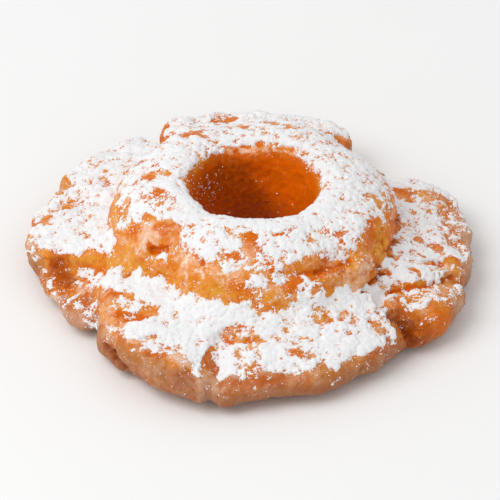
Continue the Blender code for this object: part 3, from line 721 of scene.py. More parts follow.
def keep(mesh: bpy.types.Mesh, name: Enum, values: Field) -> None:
    """Keeps a number for each point of a mesh.

    Args:
        mesh: The mesh.
        name: The note or tone, whose value is the attribute's name.
        values: The numbers, one for each point.
    """
    layer = mesh.attributes.new(name.value, "FLOAT", "POINT")
    layer.data.foreach_set("value", values.astype(np.float32))


@dataclass
class Skin:
    """A fine, even skin of the doughnut, with its points and normals round the middle of the hole."""

    name: str
    voxel: float
    broad_reach: float = 1.4
    round_levels: int = 2
    soft_rounds: int = 3
    obj: bpy.types.Object = field(init=False)
    points: Field = field(init=False)
    normals: Field = field(init=False)
    slope: Field = field(init=False)
    cavity: Field = field(init=False)

    def __post_init__(self) -> None:
        """Makes the skin from the CAD solid and measures it."""
        self.obj = self._even_copy()
        self.points, self.normals = self.measure(self.obj.data)
        broad, broad_normals = self._broad()
        self.slope = broad_normals[:, 2]
        self.cavity = np.einsum("ij,ij->i", self.normals, broad - self.points)

    def _even_copy(self) -> bpy.types.Object:
        """Copies the CAD solid's mesh, rounds it and spaces its points evenly.

        Returns:
            An object with the copy.
        """
        bm = bmesh.new()
        bm.from_mesh(frame["nodes"][NODE].data)
        bmesh.ops.remove_doubles(bm, verts=bm.verts, dist=MERGED * MM)
        mesh = bpy.data.meshes.new(self.name)
        bm.to_mesh(mesh)
        bm.free()
        obj = placed(self.name, mesh)
        rounder = obj.modifiers.new("rounder", "SUBSURF")
        rounder.levels = rounder.render_levels = self.round_levels
        even = obj.modifiers.new("even", "REMESH")
        even.mode = "VOXEL"
        even.voxel_size = self.voxel * MM
        soften = obj.modifiers.new("soften", "SMOOTH")
        soften.factor = EVEN_PULL
        soften.iterations = self.soft_rounds
        obj.data = self._modified(obj)
        bpy.data.meshes.remove(mesh)
        obj.data.name = self.name
        return obj

    @staticmethod
    def _modified(obj: bpy.types.Object) -> bpy.types.Mesh:
        """Makes a mesh of what an object's modifiers give.

        Args:
            obj: The object, which loses its modifiers and keeps its own mesh.

        Returns:
            The mesh.
        """
        bpy.context.view_layer.update()
        graph = bpy.context.evaluated_depsgraph_get()
        made = bpy.data.meshes.new_from_object(obj.evaluated_get(graph))
        obj.modifiers.clear()
        return made

    @staticmethod
    def measure(mesh: bpy.types.Mesh) -> tuple[Field, Field]:
        """Reads a mesh's points and normals.

        Args:
            mesh: A mesh in metres in the CAD frame.

        Returns:
            Points in millimetres from the middle of the hole, and unit normals, a row each.
        """
        count = len(mesh.vertices)
        points, normals = np.empty(count * 3), np.empty(count * 3)
        mesh.vertices.foreach_get("co", points)
        mesh.vertex_normals.foreach_get("vector", normals)
        return points.reshape(-1, 3) / MM - HOLE, normals.reshape(-1, 3)

    def _broad(self) -> tuple[Field, Field]:
        """Measures the skin with what is smaller than the broad reach smoothed away.

        Returns:
            Points and normals, as measure gives them.
        """
        smooth = self.obj.modifiers.new("broad", "SMOOTH")
        smooth.factor = EVEN_PULL
        smooth.iterations = round((self.broad_reach / self.voxel) ** 2 / EVEN_PULL)
        made = self._modified(self.obj)
        measured = self.measure(made)
        bpy.data.meshes.remove(made)
        return measured

    def raise_by(self, height: Field) -> None:
        """Moves each point along its normal, but not under the surface that the doughnut rests on.

        Args:
            height: How far each point moves, in millimetres.
        """
        self.points = self.points + self.normals * height[:, None]
        self.points[:, 2] = np.maximum(self.points[:, 2], 0.0)

    def store(self) -> None:
        """Writes the points back to the mesh."""
        self.obj.data.vertices.foreach_set("co", ((self.points + HOLE) * MM).ravel())
        self.obj.data.update()

    def note(self, name: Enum, values: Field) -> None:
        """Keeps a number for each point as a named attribute of the mesh."""
        keep(self.obj.data, name, values)

    def dress(self, material: bpy.types.Material) -> None:
        """Gives the whole skin one material and smooth shading.

        Args:
            material: The material.
        """
        self.obj.data.shade_smooth()
        self.obj.data.materials.clear()
        self.obj.data.materials.append(material)


@dataclass(frozen=True)
class Relief:
    """The crust's fine shape: lumps, creases, blisters, pits, crumbs, runs of glaze and grain."""

    crown_share: float = 0.4
    skirt: Edge = Edge(26.0, 7.0)
    foot_share: float = 0.4
    foot: Edge = Edge(2.0, 5.0)
    lumps: Waves = Waves(3.2, octaves=2)
    lump_height: float = 0.30
    creases: Waves = Waves(4.4, octaves=2, shift=7.3)
    crease_depth: float = 0.34
    crease_width: float = 0.07
    blisters: Cells = Cells(1.9, radius=0.5, least_lot=-0.2)
    blister_height: float = 0.24
    pits: Cells = Cells(3.4, radius=0.16, least_lot=0.3, shift=3.1)
    pit_depth: float = 0.5
    grain: Waves = Waves(0.9, octaves=2, shift=1.7)
    grain_height: float = 0.04
    crumbs: Waves = Waves(1.4, octaves=3, fade=0.6, shift=43.0)
    run_height: float = 0.12
    stray_size: float = 1.2
    stray: float = 1.5

    def roughness(self, points: Field) -> Field:
        """Measures how craggy the crust is: smooth on the crown, rough on the skirt, calmer at its foot.

        Args:
            points: Points of the skin in millimetres, a row each.

        Returns:
            The share of the lumps, creases, blisters and pits at each point.
        """
        skirt = self.skirt.over(np.hypot(points[:, 0], points[:, 1]))
        foot = self.foot_share + (1.0 - self.foot_share) * self.foot.over(points[:, 2])
        return (self.crown_share + (1.0 - self.crown_share) * skirt) * foot

    def height(self, points: Field) -> Field:
        """Measures how far the crust stands out from the skin.

        Args:
            points: Points of the skin in millimetres, a row each.

        Returns:
            A height in millimetres for each point.
        """
        lumps = self.lump_height * self.lumps.at(points)
        creases = self.crease_depth * np.exp(-((self.creases.at(points) / self.crease_width) ** 2))
        near, marked = self.blisters.at(points)
        blisters = self.blister_height * np.clip(1.0 - near**2, 0.0, 1.0) * marked
        near, marked = self.pits.at(points)
        pits = self.pit_depth * np.exp(-(near**2)) * marked
        grain = self.grain_height * self.grain.at(points)
        crumbs = summed(CRAGS, points) * self.crumbs.at(points)
        runs = self.run_height * summed(VEINS, strayed(points, self.stray_size, self.stray))
        fine = grain + crumbs + runs - summed(CREASES, points)
        return self.roughness(points) * (lumps - creases + blisters - pits) + fine


@dataclass(frozen=True)
class Dusting:
    """Where the powdered sugar lies: on what faces up, apart from named bare places and drifts."""

    steep: float = 0.30
    level: float = 0.84
    least: float = -2.2
    most: float = 0.7
    rags: Waves = Waves(2.2, octaves=3, fade=0.4, shift=11.0)
    rag: float = 1.15
    broad_size: float = 3.0
    broad_wander: float = 2.2
    fine_size: float = 1.2
    fine_wander: float = 1.1
    film: float = 0.12
    film_width: float = 0.6
    depth: float = 0.30
    body: Edge = Edge(0.1, 1.5)
    clumps: Waves = Waves(0.8, octaves=3, fade=0.5, shift=31.0)
    clump_height: float = 0.13
    buried: float = -0.30
    filled: float = 0.6
    filling: Edge = Edge(0.2, 0.8)

    def cover(self, skin: Skin) -> Field:
        """Measures how much sugar lies where.

        Args:
            skin: The skin that the sugar lies on.

        Returns:
            The mean cover at each point: above 0 it is mostly white, below it is mostly bare.
        """
        reach = self.most - self.least
        cover = self.least + reach * smooth_step((skin.slope - self.steep) / (self.level - self.steep))
        places = strayed(skin.points, self.broad_size, self.broad_wander)
        places = strayed(places, self.fine_size, self.fine_wander)
        for streaks in (BARE, DRIFTS, GAPS):
            cover = settled(cover, streaks, places)
        return cover

    def margin(self, skin: Skin, cover: Field) -> Field:
        """Adds the ragged edge to the mean cover, so that sugar lies where the result is above 0."""
        return cover + self.rag * self.rags.at(skin.points)

    def kept(self, margin: Field) -> Field:
        """Gives the share of the crust's relief that the sugar follows: less where it is thick."""
        return 1.0 - self.filled * self.filling.over(margin)

    def thickness(self, skin: Skin, margin: Field) -> Field:
        """Measures how thick the sugar is.

        Args:
            skin: The skin that the sugar lies on.
            margin: The cover at each point with its ragged edge.

        Returns:
            A thickness in millimetres for each point, under 0 where it is under the crust.
        """
        edge = smooth_step(margin / self.film_width + 0.5)
        clumps = self.clump_height * self.clumps.at(skin.points)
        film = self.buried + (self.film - self.buried) * edge
        return film + (self.depth + clumps) * self.body.over(margin)


@dataclass(frozen=True)
class Pattern:
    """A noise pattern of a material.

    The size is that of its largest waves in millimetres, the detail says how many finer sizes it holds,
    rough says how strong those are, and the twist how much it is distorted.
    """

    size: float
    detail: float = 2.0
    rough: float = 0.5
    twist: float = 0.0


CRUMB = Pattern(0.9, 3.0, 0.65)
RAG = Pattern(0.6, 4.0, 0.65)
RAG_STRENGTH = 4.5
DOT_SPREAD = 0.30


class Graph:
    """A material's node tree, with short ways to add nodes and join them."""

    def __init__(self, name: str) -> None:
        """Starts a material with a Principled shader.

        Args:
            name: The material's name.
        """
        self.material = bpy.data.materials.new(name)
        self.material.use_nodes = True
        self.tree = self.material.node_tree
        self.shader = self.tree.nodes["Principled BSDF"]
        self.place = self.tree.nodes.new("ShaderNodeTexCoord").outputs["Object"]

    def join(self, target: Socket, source: object) -> None:
        """Links a socket to its source, or sets it where the source is a plain value.

        Args:
            target: The input to feed.
            source: An output, a number or a colour.
        """
        if isinstance(source, Socket):
            self.tree.links.new(source, target)
        else:
            target.default_value = source

    def feed(self, node: bpy.types.Node, sources: dict[str, object]) -> None:
        """Feeds some inputs of a node.

        Args:
            node: The node.
            sources: An output, a number or a colour for each input, by the input's name.
        """
        for name, source in sources.items():
            self.join(node.inputs[name], source)

    def noted(self, name: Enum) -> Socket:
        """Reads what the mesh keeps of each point.

        Args:
            name: The note or tone, whose value is the attribute's name.

        Returns:
            The number.
        """
        node = self.tree.nodes.new("ShaderNodeAttribute")
        node.attribute_name = name.value
        return node.outputs["Fac"]

    def waves(self, pattern: Pattern) -> Socket:
        """Adds a noise pattern.

        Args:
            pattern: The pattern.

        Returns:
            A number from 0 to 1.
        """
        node = self.tree.nodes.new("ShaderNodeTexNoise")
        self.feed(node, {"Vector": self.place, "Scale": 1.0 / (pattern.size * MM)})
        self.feed(node, {"Detail": pattern.detail, "Roughness": pattern.rough, "Distortion": pattern.twist})
        return node.outputs["Fac"]

    def dots(self, size: float) -> Socket:
        """Adds scattered dots of unlike sizes.

        Args:
            size: Rough distance between their middles in millimetres.

        Returns:
            The distance to the nearest middle as a share of the size, with a part of that dot's random lot.
        """
        node = self.tree.nodes.new("ShaderNodeTexVoronoi")
        self.feed(node, {"Vector": self.place, "Scale": 1.0 / (size * MM)})
        return self.maths("MULTIPLY_ADD", node.outputs["Color"], DOT_SPREAD, node.outputs["Distance"])

    def ragged(self) -> Socket:
        """Adds the finest raggedness to the noted margin of the sugar: it is white above 0."""
        fine = self.maths("SUBTRACT", self.waves(RAG), 0.5)
        return self.maths("MULTIPLY_ADD", fine, RAG_STRENGTH, self.noted(Note.MARGIN))

    def maths(self, kind: str, first: object, second: object = 0.0, third: object = 0.0) -> Socket:
        """Adds a Math node.

        Args:
            kind: What it does, such as MULTIPLY_ADD.
            first: Its first number, as a socket or a value.
            second: Its second number.
            third: Its third number.

        Returns:
            Its result.
        """
        node = self.tree.nodes.new("ShaderNodeMath")
        node.operation = kind
        for socket, source in zip(node.inputs, (first, second, third)):
            self.join(socket, source)
        return node.outputs[0]

    def product(self, first: object, second: object) -> Socket:
        """Multiplies two numbers."""
        return self.maths("MULTIPLY", first, second)

    def step(self, value: object, span: Span) -> Socket:
        """Turns a number into a share.

        Args:
            value: The number.
            span: Where the share is 0 and where it is 1. It changes evenly between and not beyond.

        Returns:
            The share.
        """
        node = self.tree.nodes.new("ShaderNodeMapRange")
        node.interpolation_type = "SMOOTHSTEP"
        self.feed(node, {"Value": value, "From Min": span[0], "From Max": span[1]})
        return node.outputs["Result"]

    def mix(self, share: object, first: object, second: object) -> Socket:
        """Mixes two colours.

        Args:
            share: How much of the second there is, from 0 to 1.
            first: A colour, as a socket or a value.
            second: The other colour.

        Returns:
            The mixed colour.
        """
        node = self.tree.nodes.new("ShaderNodeMix")
        node.data_type = "RGBA"
        node.clamp_factor = True
        for name, source in (("Factor_Float", share), ("A_Color", first), ("B_Color", second)):
            target = next(socket for socket in node.inputs if socket.identifier == name)
            self.join(target, source)
        return next(socket for socket in node.outputs if socket.identifier == "Result_Color")

    def bump(self, height: Socket, strength: float, depth: float) -> None:
        """Gives the shader a bump from a height.

        Args:
            height: Heights from 0 to 1.
            strength: Share of the bump that is used.
            depth: What a height of 1 measures in millimetres.
        """
        node = self.tree.nodes.new("ShaderNodeBump")
        self.feed(node, {"Strength": strength, "Distance": depth * MM, "Height": height})
        self.join(self.shader.inputs["Normal"], node.outputs["Normal"])


@dataclass(frozen=True)
class Dough:
    """The colours of golden brown fried dough under a thin sugar glaze, with painted shade in its hollows,
    cracks, low walls and hole, and a painted glow on the hole's lit side.
    """

    amber: Colour = (0.78, 0.26, 0.020, 1.0)
    orange: Colour = (0.70, 0.145, 0.001, 1.0)
    gold: Colour = (0.80, 0.35, 0.040, 1.0)
    # Deep orange: the crust's own colour in pits and cracks, also used as painted shade.
    deep_and_shade: Colour = (0.70, 0.140, 0.001, 1.0)
    # Colour of the painted shade in gaps, cracks, creases and the hole.
    painted_shade: Colour = (0.30, 0.055, 0.002, 1.0)
    # Painted light: the bright orange of the hole's lit side.
    painted_glow: Colour = (0.85, 0.16, 0.001, 1.0)
    # Darker brown of the low walls: partly the crust's own colour, partly painted shade.
    foot: Colour = (0.29, 0.125, 0.066, 1.0)
    glaze: Colour = (0.85, 0.40, 0.18, 1.0)
    film: Colour = (0.86, 0.50, 0.32, 1.0)
    vein: Colour = (0.94, 0.74, 0.58, 1.0)
    hole_side: Edge = Edge(14.2, 1.6)
    hole_top: Edge = Edge(24.0, 1.8)
    rim_side: Edge = Edge(17.0, 2.0)
    rim_top: Edge = Edge(25.4, 1.5)
    skirt: Edge = Edge(34.0, 6.0)
    foot_height: float = 9.0
    foot_top: float = 1.3
    stray_size: float = 1.2
    stray: float = 1.5
    glaze_most: float = 3.0
    # How much painted shade darkens the inside of the hole.
    hole_painted_shade: float = 0.2
    foot_glaze: float = 0.3
    rim_glaze: float = -1.4
    gold_glaze: float = -0.3
    blotches: Pattern = Pattern(6.0, 3.0, 0.55)
    blotch_span: Span = (0.40, 0.60)
    gold_span: Span = (0.25, 0.6)
    film_pattern: Pattern = Pattern(3.0, 5.0, 0.6, twist=1.2)
    film_lift: float = 0.20
    veil_span: Span = (0.43, 0.66)
    veil_share: float = 0.75
    film_span: Span = (0.60, 0.78)
    film_share: float = 0.8
    strands: Pattern = Pattern(1.7, 3.0, 0.6, twist=1.4)
    strand_span: Span = (0.030, 0.004)
    strand_share: float = 0.6
    run_span: Span = (0.30, 0.48)
    cavity_span: Span = (0.05, 0.8)
    foot_share: float = 0.8
    # Mottling of the painted shade.
    mottle_span: Span = (0.36, 0.64)
    mottle: Span = (0.65, 0.7)
    # Patches of the painted glow in the hole.
    painted_glow_patch_span: Span = (0.38, 0.62)
    painted_glow_patches: Span = (0.6, 0.5)

    def note(self, skin: Skin, places: Field, lowered: Field) -> None:
        """Keeps what the colours need of each point of a skin.

        Args:
            skin: The skin to colour.
            places: Its points before the fine relief moved them.
            lowered: How far the fine relief sank each of them, in millimetres.
        """
        radius, height = np.hypot(places[:, 0], places[:, 1]), places[:, 2]
        inside = self.hole_side.under(radius) * self.hole_top.under(height)
        rim = self.rim_side.under(radius) * self.rim_top.under(height)
        low = smooth_step(self.foot_top - height / self.foot_height) * self.skirt.over(radius)
        # Painted shade: the cavity, with how far the relief sank each point, deepens the colour in creases
        # and hollows.
        skin.note(Note.CAVITY, skin.cavity + np.clip(lowered, 0.0, 1.0))
        places = strayed(places, self.stray_size, self.stray)
        skin.note(Note.VEINS, summed(VEINS, places))
        amounts = {tone: summed(streaks, places) for tone, streaks in TINTS.items()}
        inside = inside * (1.0 - np.clip(amounts[Tone.GLAZE] / self.glaze_most, 0.0, 1.0))
        # Darker towards the foot of the skirt: partly the crust's own colour, partly painted shade.
        amounts[Tone.FOOT_AND_SHADE] += low
        # Painted shade inside the hole: deep orange, partly the crust's own colour.
        amounts[Tone.DEEP_AND_SHADE] += inside
        # Painted shade: a little darkness inside the hole.
        amounts[Tone.PAINTED_SHADE] += self.hole_painted_shade * inside
        # Painted light: the glow stays inside the hole.
        amounts[Tone.PAINTED_GLOW] *= inside
        gold = np.clip(amounts[Tone.GOLD], 0.0, 1.0)
        amounts[Tone.GLAZE] += self.foot_glaze * low + self.rim_glaze * rim + self.gold_glaze * gold
        for tone, amount in amounts.items():
            skin.note(tone, amount)

    def colour(self, graph: Graph) -> Socket:
        """Adds the nodes that colour the dough from what was noted.

        Args:
            graph: The material to add them to.

        Returns:
            The colour.
        """
        blotch, crumb = graph.waves(self.blotches), graph.waves(CRUMB)
        film, strand = graph.waves(self.film_pattern), graph.waves(self.strands)
        colour = graph.mix(graph.step(blotch, self.blotch_span), self.orange, self.amber)
        gold = graph.product(graph.noted(Tone.GOLD), graph.step(crumb, self.gold_span))
        colour = graph.mix(gold, colour, self.gold)
        level = graph.maths("MULTIPLY_ADD", graph.noted(Tone.GLAZE), self.film_lift, film)
        veil = graph.step(level, self.veil_span)
        colour = graph.mix(graph.product(veil, self.veil_share), colour, self.glaze)
        film_share = graph.product(graph.step(level, self.film_span), self.film_share)
        colour = graph.mix(film_share, colour, self.film)
        middle = graph.maths("ABSOLUTE", graph.maths("SUBTRACT", strand, 0.5))
        line = graph.product(graph.step(middle, self.strand_span), veil)
        run = graph.product(graph.noted(Note.VEINS), graph.step(crumb, self.run_span))
        vein = graph.maths("MAXIMUM", graph.product(line, self.strand_share), run)
        colour = graph.mix(vein, colour, self.vein)
        # Painted shade: concave spots and creases get the deep orange.
        cavity = graph.step(graph.noted(Note.CAVITY), self.cavity_span)
        # Deep orange from the tint and the cavity: partly the crust's own colour, partly painted shade in
        # creases and hollows.
        colour = graph.mix(graph.maths("ADD", graph.noted(Tone.DEEP_AND_SHADE), cavity), colour, self.deep_and_shade)
        # Low walls darker: partly the crust's own colour, partly painted shade.
        colour = graph.mix(graph.product(graph.noted(Tone.FOOT_AND_SHADE), self.foot_share), colour, self.foot)
        # Painted shade, mottled by the crumb pattern, in gaps, creases and the hole.
        mottle = self.lifted(graph, graph.step(crumb, self.mottle_span), self.mottle)
        colour = graph.mix(graph.product(graph.noted(Tone.PAINTED_SHADE), mottle), colour, self.painted_shade)
        # Painted light: a patchy orange glow on the lit side of the hole.
        painted_glow_patches = self.lifted(graph, graph.step(film, self.painted_glow_patch_span), self.painted_glow_patches)
        return graph.mix(graph.product(graph.noted(Tone.PAINTED_GLOW), painted_glow_patches), colour, self.painted_glow)

    @staticmethod
    def lifted(graph: Graph, share: Socket, strength: Span) -> Socket:
        """Turns a share into a strength, from the first number at 0, with the second added at 1."""
        least, more = strength
        return graph.maths("MULTIPLY_ADD", share, more, least)


@dataclass(frozen=True)
class CrustFinish:
    """Fried dough under a thin sugar glaze, with the finest of the powdered sugar on it."""

    dough: Dough
    dust: Colour = (0.93, 0.92, 0.92, 1.0)
    fine: Pattern = Pattern(0.45, 3.0, 0.6)
    dust_span: Span = (-0.05, 0.15)
    dot_size: float = 0.80
    dot_rag: float = 0.42
    dot_span: Span = (0.06, 0.02)
    flocks: Pattern = Pattern(2.4, 3.0)
    flock_span: Span = (0.36, 0.56)
    roughness: float = 0.40
    matt: float = 0.5
    matt_span: Span = (0.0, 1.3)
    fine_matt: float = 0.35
    shine: float = 0.08
    coat: float = 0.14
    coat_roughness: float = 0.18
    glow: float = 0.2
    glow_reach: tuple[float, float, float] = (1.0, 0.35, 0.10)
    glow_scale: float = 1.0
    bump_fine: float = 0.6
    bump_strength: float = 0.35
    bump_depth: float = 0.18

    def make(self) -> bpy.types.Material:
        """Makes the material.

        Returns:
            The material.
        """
        graph = Graph("crust")
        colour = self.dough.colour(graph)
        crumb, fine = graph.waves(CRUMB), graph.waves(self.fine)
        dust = graph.product(graph.step(graph.ragged(), self.dust_span), graph.noted(Note.OPEN))
        near = graph.maths("SUBTRACT", graph.dots(self.dot_size), graph.product(fine, self.dot_rag))
        flock = graph.step(graph.waves(self.flocks), self.flock_span)
        speck = graph.product(graph.step(near, self.dot_span), flock)
        dust = graph.maths("MAXIMUM", dust, graph.product(speck, graph.noted(Note.SPECKS)))
        colour = graph.mix(dust, colour, self.dust)
        dull = graph.step(graph.maths("ADD", graph.product(fine, self.fine_matt), dust), self.matt_span)
        dull = graph.maths("MULTIPLY_ADD", dull, self.matt, self.roughness)
        surface = {
            "Base Color": colour,
            "Roughness": dull,
            "Specular IOR Level": self.shine,
            "Coat Weight": self.coat,
            "Coat Roughness": self.coat_roughness,
            "Subsurface Weight": self.glow,
            "Subsurface Radius": self.glow_reach,
            "Subsurface Scale": self.glow_scale * MM,
        }
        graph.feed(graph.shader, surface)
        height = graph.maths("MULTIPLY_ADD", fine, self.bump_fine, crumb)
        graph.bump(height, self.bump_strength, self.bump_depth)
        return graph.material


@dataclass(frozen=True)
class SugarFinish:
    """Soft white powdered sugar with pinholes, which lets the dough's colour through where it is thin."""

    dough: Dough
    white: Colour = (0.93, 0.93, 0.94, 1.0)
    shade: Colour = (0.87, 0.87, 0.885, 1.0)
    grains: Pattern = Pattern(0.35, 3.0, 0.7)
    clumps: Pattern = Pattern(1.0, 3.0, 0.6)
    clump_span: Span = (0.3, 0.62)
    thin_span: Span = (0.45, 0.05)
    thin_share: float = 0.35
    hole_span: Span = (0.10, -0.10)
    roughness: float = 0.95
    shine: float = 0.1
    bump_clump: float = 0.8
    bump_strength: float = 0.5
    bump_depth: float = 0.14

    def make(self) -> bpy.types.Material:
        """Makes the material.

        Returns:
            The material.
        """
        graph = Graph("sugar")
        grain, clump, ragged = graph.waves(self.grains), graph.waves(self.clumps), graph.ragged()
        powder = graph.mix(graph.step(clump, self.clump_span), self.shade, self.white)
        thin = graph.product(graph.step(ragged, self.thin_span), self.thin_share)
        hole = graph.step(ragged, self.hole_span)
        colour = graph.mix(graph.maths("MAXIMUM", thin, hole), powder, self.dough.colour(graph))
        surface = {"Base Color": colour, "Roughness": self.roughness, "Specular IOR Level": self.shine}
        graph.feed(graph.shader, surface)
        height = graph.maths("MULTIPLY_ADD", clump, self.bump_clump, grain)
        graph.bump(height, self.bump_strength, self.bump_depth)
        return graph.material


@dataclass(frozen=True)
class FloorFinish:
    """A pale matt table top with the faintest unevenness."""

    pale: Colour = (0.96, 0.96, 0.955, 1.0)
    paler: Colour = (0.98, 0.98, 0.98, 1.0)
    blotches: Pattern = Pattern(40.0)
    roughness: float = 0.9
    shine: float = 0.05

    def make(self) -> bpy.types.Material:
        """Makes the material.

        Returns:
            The material.
        """
        graph = Graph("floor")
        colour = graph.mix(graph.waves(self.blotches), self.pale, self.paler)
        surface = {"Base Color": colour, "Roughness": self.roughness, "Specular IOR Level": self.shine}
        graph.feed(graph.shader, surface)
        return graph.material


@dataclass
class Crust:
    """The fried dough itself, which takes the place of the plain solid."""

    relief: Relief
    dusting: Dusting
    finish: CrustFinish
    voxel: float = 0.49
    open_slope: float = -0.2
    speck_slope: float = -0.3
    speck_cover: Edge = Edge(-2.6, 2.2)

    def build(self) -> Skin:
        """Makes the crust.

        Returns:
            Its skin, with the piece as its object.
        """
        skin = Skin("crust", self.voxel)
        cover = self.dusting.cover(skin)
        margin = self.dusting.margin(skin, cover)
        places = skin.points
        height = self.relief.height(places)
        skin.raise_by(height)
        skin.note(Note.MARGIN, margin)
        skin.note(Note.OPEN, skin.slope > self.open_slope)
        specks = self.speck_cover.over(cover) * (skin.slope > self.speck_slope)
        skin.note(Note.SPECKS, specks + summed(SPECKS, places))
        self.finish.dough.note(skin, places, -height)
        skin.store()
        skin.dress(self.finish.make())
        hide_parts(NODE)
        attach(skin.obj, BODY)
        return skin


@dataclass
class Sugar:
    """The drifts of powdered sugar, as thin skins that stand on the crust and end under it."""

    relief: Relief
    dusting: Dusting
    finish: SugarFinish
    voxel: float = 0.25
    crown_edge: float = 31.0
    lowest_slope: float = -0.25
    least_depth: float = 0.06
    grains: int = 4500
    grain_margin: float = -0.5
    grain_spread: float = 0.7
    grain_note: float = 3.0
    cling: float = 0.6
    flocks: Waves = Waves(1.6, shift=53.0)
    flock_edge: float = 0.4
    grain_sizes: Span = (0.06, 0.20)
    small_lean: int = 3
    knobs: Span = (0.7, 1.25)
    stand: float = 0.4

    def build(self) -> list[bpy.types.Object]:
        """Makes the drifts and the loose grains.

        Returns:
            The pieces: on the crown, on the front and the back of the skirt, and the grains.
        """
        skin = Skin("sugar", self.voxel)
        self._drop_under(skin)
        cover = self.dusting.cover(skin)
        margin = self.dusting.margin(skin, cover)
        places, depth = skin.points, self.dusting.thickness(skin, margin)
        height = self.relief.height(places)
        grains = self._grains(places + skin.normals * height[:, None], skin, margin)
        skin.raise_by(height * self.dusting.kept(margin) + depth)
        skin.note(Note.MARGIN, margin)
        self.finish.dough.note(skin, places, -height)
        skin.store()
        skin.dress(self.finish.make())
        grains.materials.append(skin.obj.data.materials[0])
        shown = depth > self.dusting.buried + self.least_depth
        crown = np.hypot(places[:, 0], places[:, 1]) < self.crown_edge
        front = places[:, 1] < 0.0
        pieces = [
            self._piece("sugar_crown", self._part(skin, shown, crown)),
            self._piece("sugar_front", self._part(skin, shown, ~crown & front)),
            self._piece("sugar_back", self._part(skin, shown, ~crown & ~front)),
            self._piece("sugar_grains", grains),
        ]
        bpy.data.objects.remove(skin.obj)
        return pieces

    def _drop_under(self, skin: Skin) -> None:
        """Leaves out the underside of a skin, where no sugar lies.

        Args:
            skin: The skin to cut.
        """
        bm = bmesh.new()
        bm.from_mesh(skin.obj.data)
        bm.verts.ensure_lookup_table()
        kept = skin.slope >= self.lowest_slope
        under = [bm.verts[index] for index in np.nonzero(~kept)[0]]
        bmesh.ops.delete(bm, geom=under, context="VERTS")
        bm.to_mesh(skin.obj.data)
        bm.free()
        skin.points, skin.normals = skin.points[kept], skin.normals[kept]
        skin.slope, skin.cavity = skin.slope[kept], skin.cavity[kept]

    @staticmethod
    def _part(skin: Skin, shown: Field, mine: Field) -> bpy.types.Mesh:
        """Cuts the shown faces of one part out of the skin.

        Args:
            skin: The whole skin of sugar.
            shown: Whether each point stands out of the crust.
            mine: Whether each point belongs to this part.

        Returns:
            The part's mesh.
        """
        bm = bmesh.new()
        bm.from_mesh(skin.obj.data)
        drop = [
            face
            for face in bm.faces
            if not any(shown[vert.index] for vert in face.verts) or not mine[face.verts[0].index]
        ]
        bmesh.ops.delete(bm, geom=drop, context="FACES")
        mesh = bpy.data.meshes.new("part")
        bm.to_mesh(mesh)
        bm.free()
        mesh.materials.append(skin.obj.data.materials[0])
        return mesh

    def _grains(self, ground: Field, skin: Skin, margin: Field) -> bpy.types.Mesh:
        """Scatters loose grains near the edges of the drifts.

        Args:
            ground: The crust's points that the grains may lie on, in millimetres.
            skin: The skin of sugar, with a normal for each of them.
            margin: The margin of the dusting at each of them.

        Returns:
            One mesh of all the grains.
        """
        chance = np.random.default_rng(NOISE_SEED)
        weight = np.exp(-(((margin - self.grain_margin) / self.grain_spread) ** 2))
        weight += self.cling * summed(SPECKS, skin.points)
        weight *= smooth_step(self.flocks.at(skin.points) / self.flock_edge + 0.5)
        chosen = chance.choice(len(ground), self.grains, replace=False, p=weight / weight.sum())
        bm = bmesh.new()
        bmesh.ops.create_icosphere(bm, subdivisions=1, radius=1.0)
        corners = np.array([vert.co[:] for vert in bm.verts])
        faces = np.array([[vert.index for vert in face.verts] for face in bm.faces])
        bm.free()
        least, most = self.grain_sizes
        sizes = least + (most - least) * chance.random(self.grains) ** self.small_lean
        knobs = chance.uniform(*self.knobs, (self.grains, len(corners), 1))
        middles = ground[chosen] + skin.normals[chosen] * (self.stand * sizes[:, None])
        points = middles[:, None, :] + sizes[:, None, None] * knobs * corners
        shifts = len(corners) * np.arange(self.grains)
        mesh = bpy.data.meshes.new("grains")
        spots = ((points.reshape(-1, 3) + HOLE) * MM).tolist()
        mesh.from_pydata(spots, [], (shifts[:, None, None] + faces).reshape(-1, 3).tolist())
        keep(mesh, Note.MARGIN, np.full(len(spots), self.grain_note))
        return mesh

    @staticmethod
    def _piece(name: str, mesh: bpy.types.Mesh) -> bpy.types.Object:
        """Makes a named piece of sugar from a mesh.

        Args:
            name: The piece's name.
            mesh: Its mesh, with its material.

        Returns:
            The piece.
        """
        mesh.name = name
        piece = placed(name, mesh)
        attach(piece, BODY)
        return piece


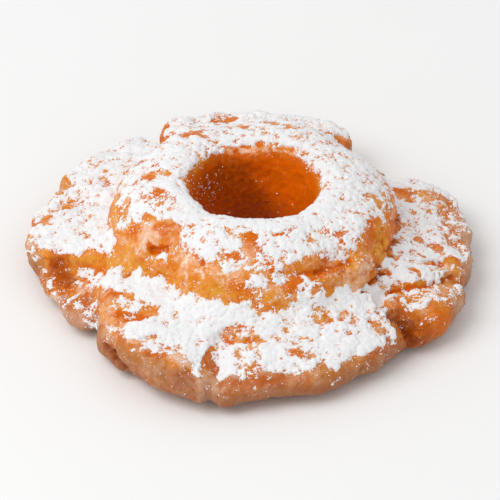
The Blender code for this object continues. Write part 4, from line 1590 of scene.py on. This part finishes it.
@dataclass(frozen=True)
class Studio:
    """A pale floor, soft light from the left and the camera at the photograph's angle.

    The camera's target is measured from the middle of the hole, in millimetres.
    """

    elevation: float = 37.5
    distance: float = 800.0
    view_width: float = 107.5
    target: tuple[float, float, float] = (-0.883, 0.069, 6.25)
    sensor: float = 36.0
    floor_size: float = 3000.0
    sky: float = 0.635
    key_power: float = 4.7
    key_size: float = 0.8
    key_place: tuple[float, float, float] = (-0.55, -0.25, 0.80)

    def camera(self) -> None:
        """Sets the camera."""
        data = bpy.data.cameras.new("camera")
        data.sensor_width = self.sensor
        data.lens = self.sensor * self.distance / self.view_width
        camera = placed("camera", data)
        tilt = math.radians(self.elevation)
        away = Vector((0.0, -math.cos(tilt), math.sin(tilt)))
        camera.location = (Vector(HOLE) + Vector(self.target) + away * self.distance) * MM
        camera.rotation_euler = (-away).to_track_quat("-Z", "Y").to_euler()
        bpy.context.scene.camera = camera

    def floor(self) -> None:
        """Lays the floor that the doughnut rests on."""
        bm = bmesh.new()
        bmesh.ops.create_grid(bm, x_segments=1, y_segments=1, size=0.5 * self.floor_size * MM)
        mesh = bpy.data.meshes.new("floor")
        bm.to_mesh(mesh)
        bm.free()
        mesh.materials.append(FloorFinish().make())
        floor = placed("floor", mesh)

    def lights(self) -> None:
        """Sets the white surroundings and the large soft lamp."""
        world = bpy.data.worlds.new("white")
        world.use_nodes = True
        sky = world.node_tree.nodes["Background"]
        sky.inputs["Color"].default_value = WHITE
        sky.inputs["Strength"].default_value = self.sky
        bpy.context.scene.world = world
        data = bpy.data.lights.new("key", "AREA")
        data.shape = "DISK"
        data.size = self.key_size
        data.energy = self.key_power
        key = placed("key", data)
        key.location = self.key_place
        key.rotation_euler = (-Vector(self.key_place)).to_track_quat("-Z", "Y").to_euler()
        bpy.context.scene.view_settings.view_transform = "Standard"


def report(piece: bpy.types.Object) -> None:
    """Logs a piece's name and size."""
    LOG.info("%s: %d vertices, %d faces", piece.name, len(piece.data.vertices), len(piece.data.polygons))


def main() -> None:
    """Builds the studio, the crust and the sugar."""
    logging.basicConfig(level=logging.INFO, format="%(name)s %(message)s")
    noise.seed_set(NOISE_SEED)
    studio = Studio()
    studio.camera()
    studio.floor()
    studio.lights()
    relief, dusting, dough = Relief(), Dusting(), Dough()
    crust = Crust(relief, dusting, CrustFinish(dough)).build()
    report(crust.obj)
    for piece in Sugar(relief, dusting, SugarFinish(dough)).build():
        report(piece)


if __name__ == "__main__":
    main()
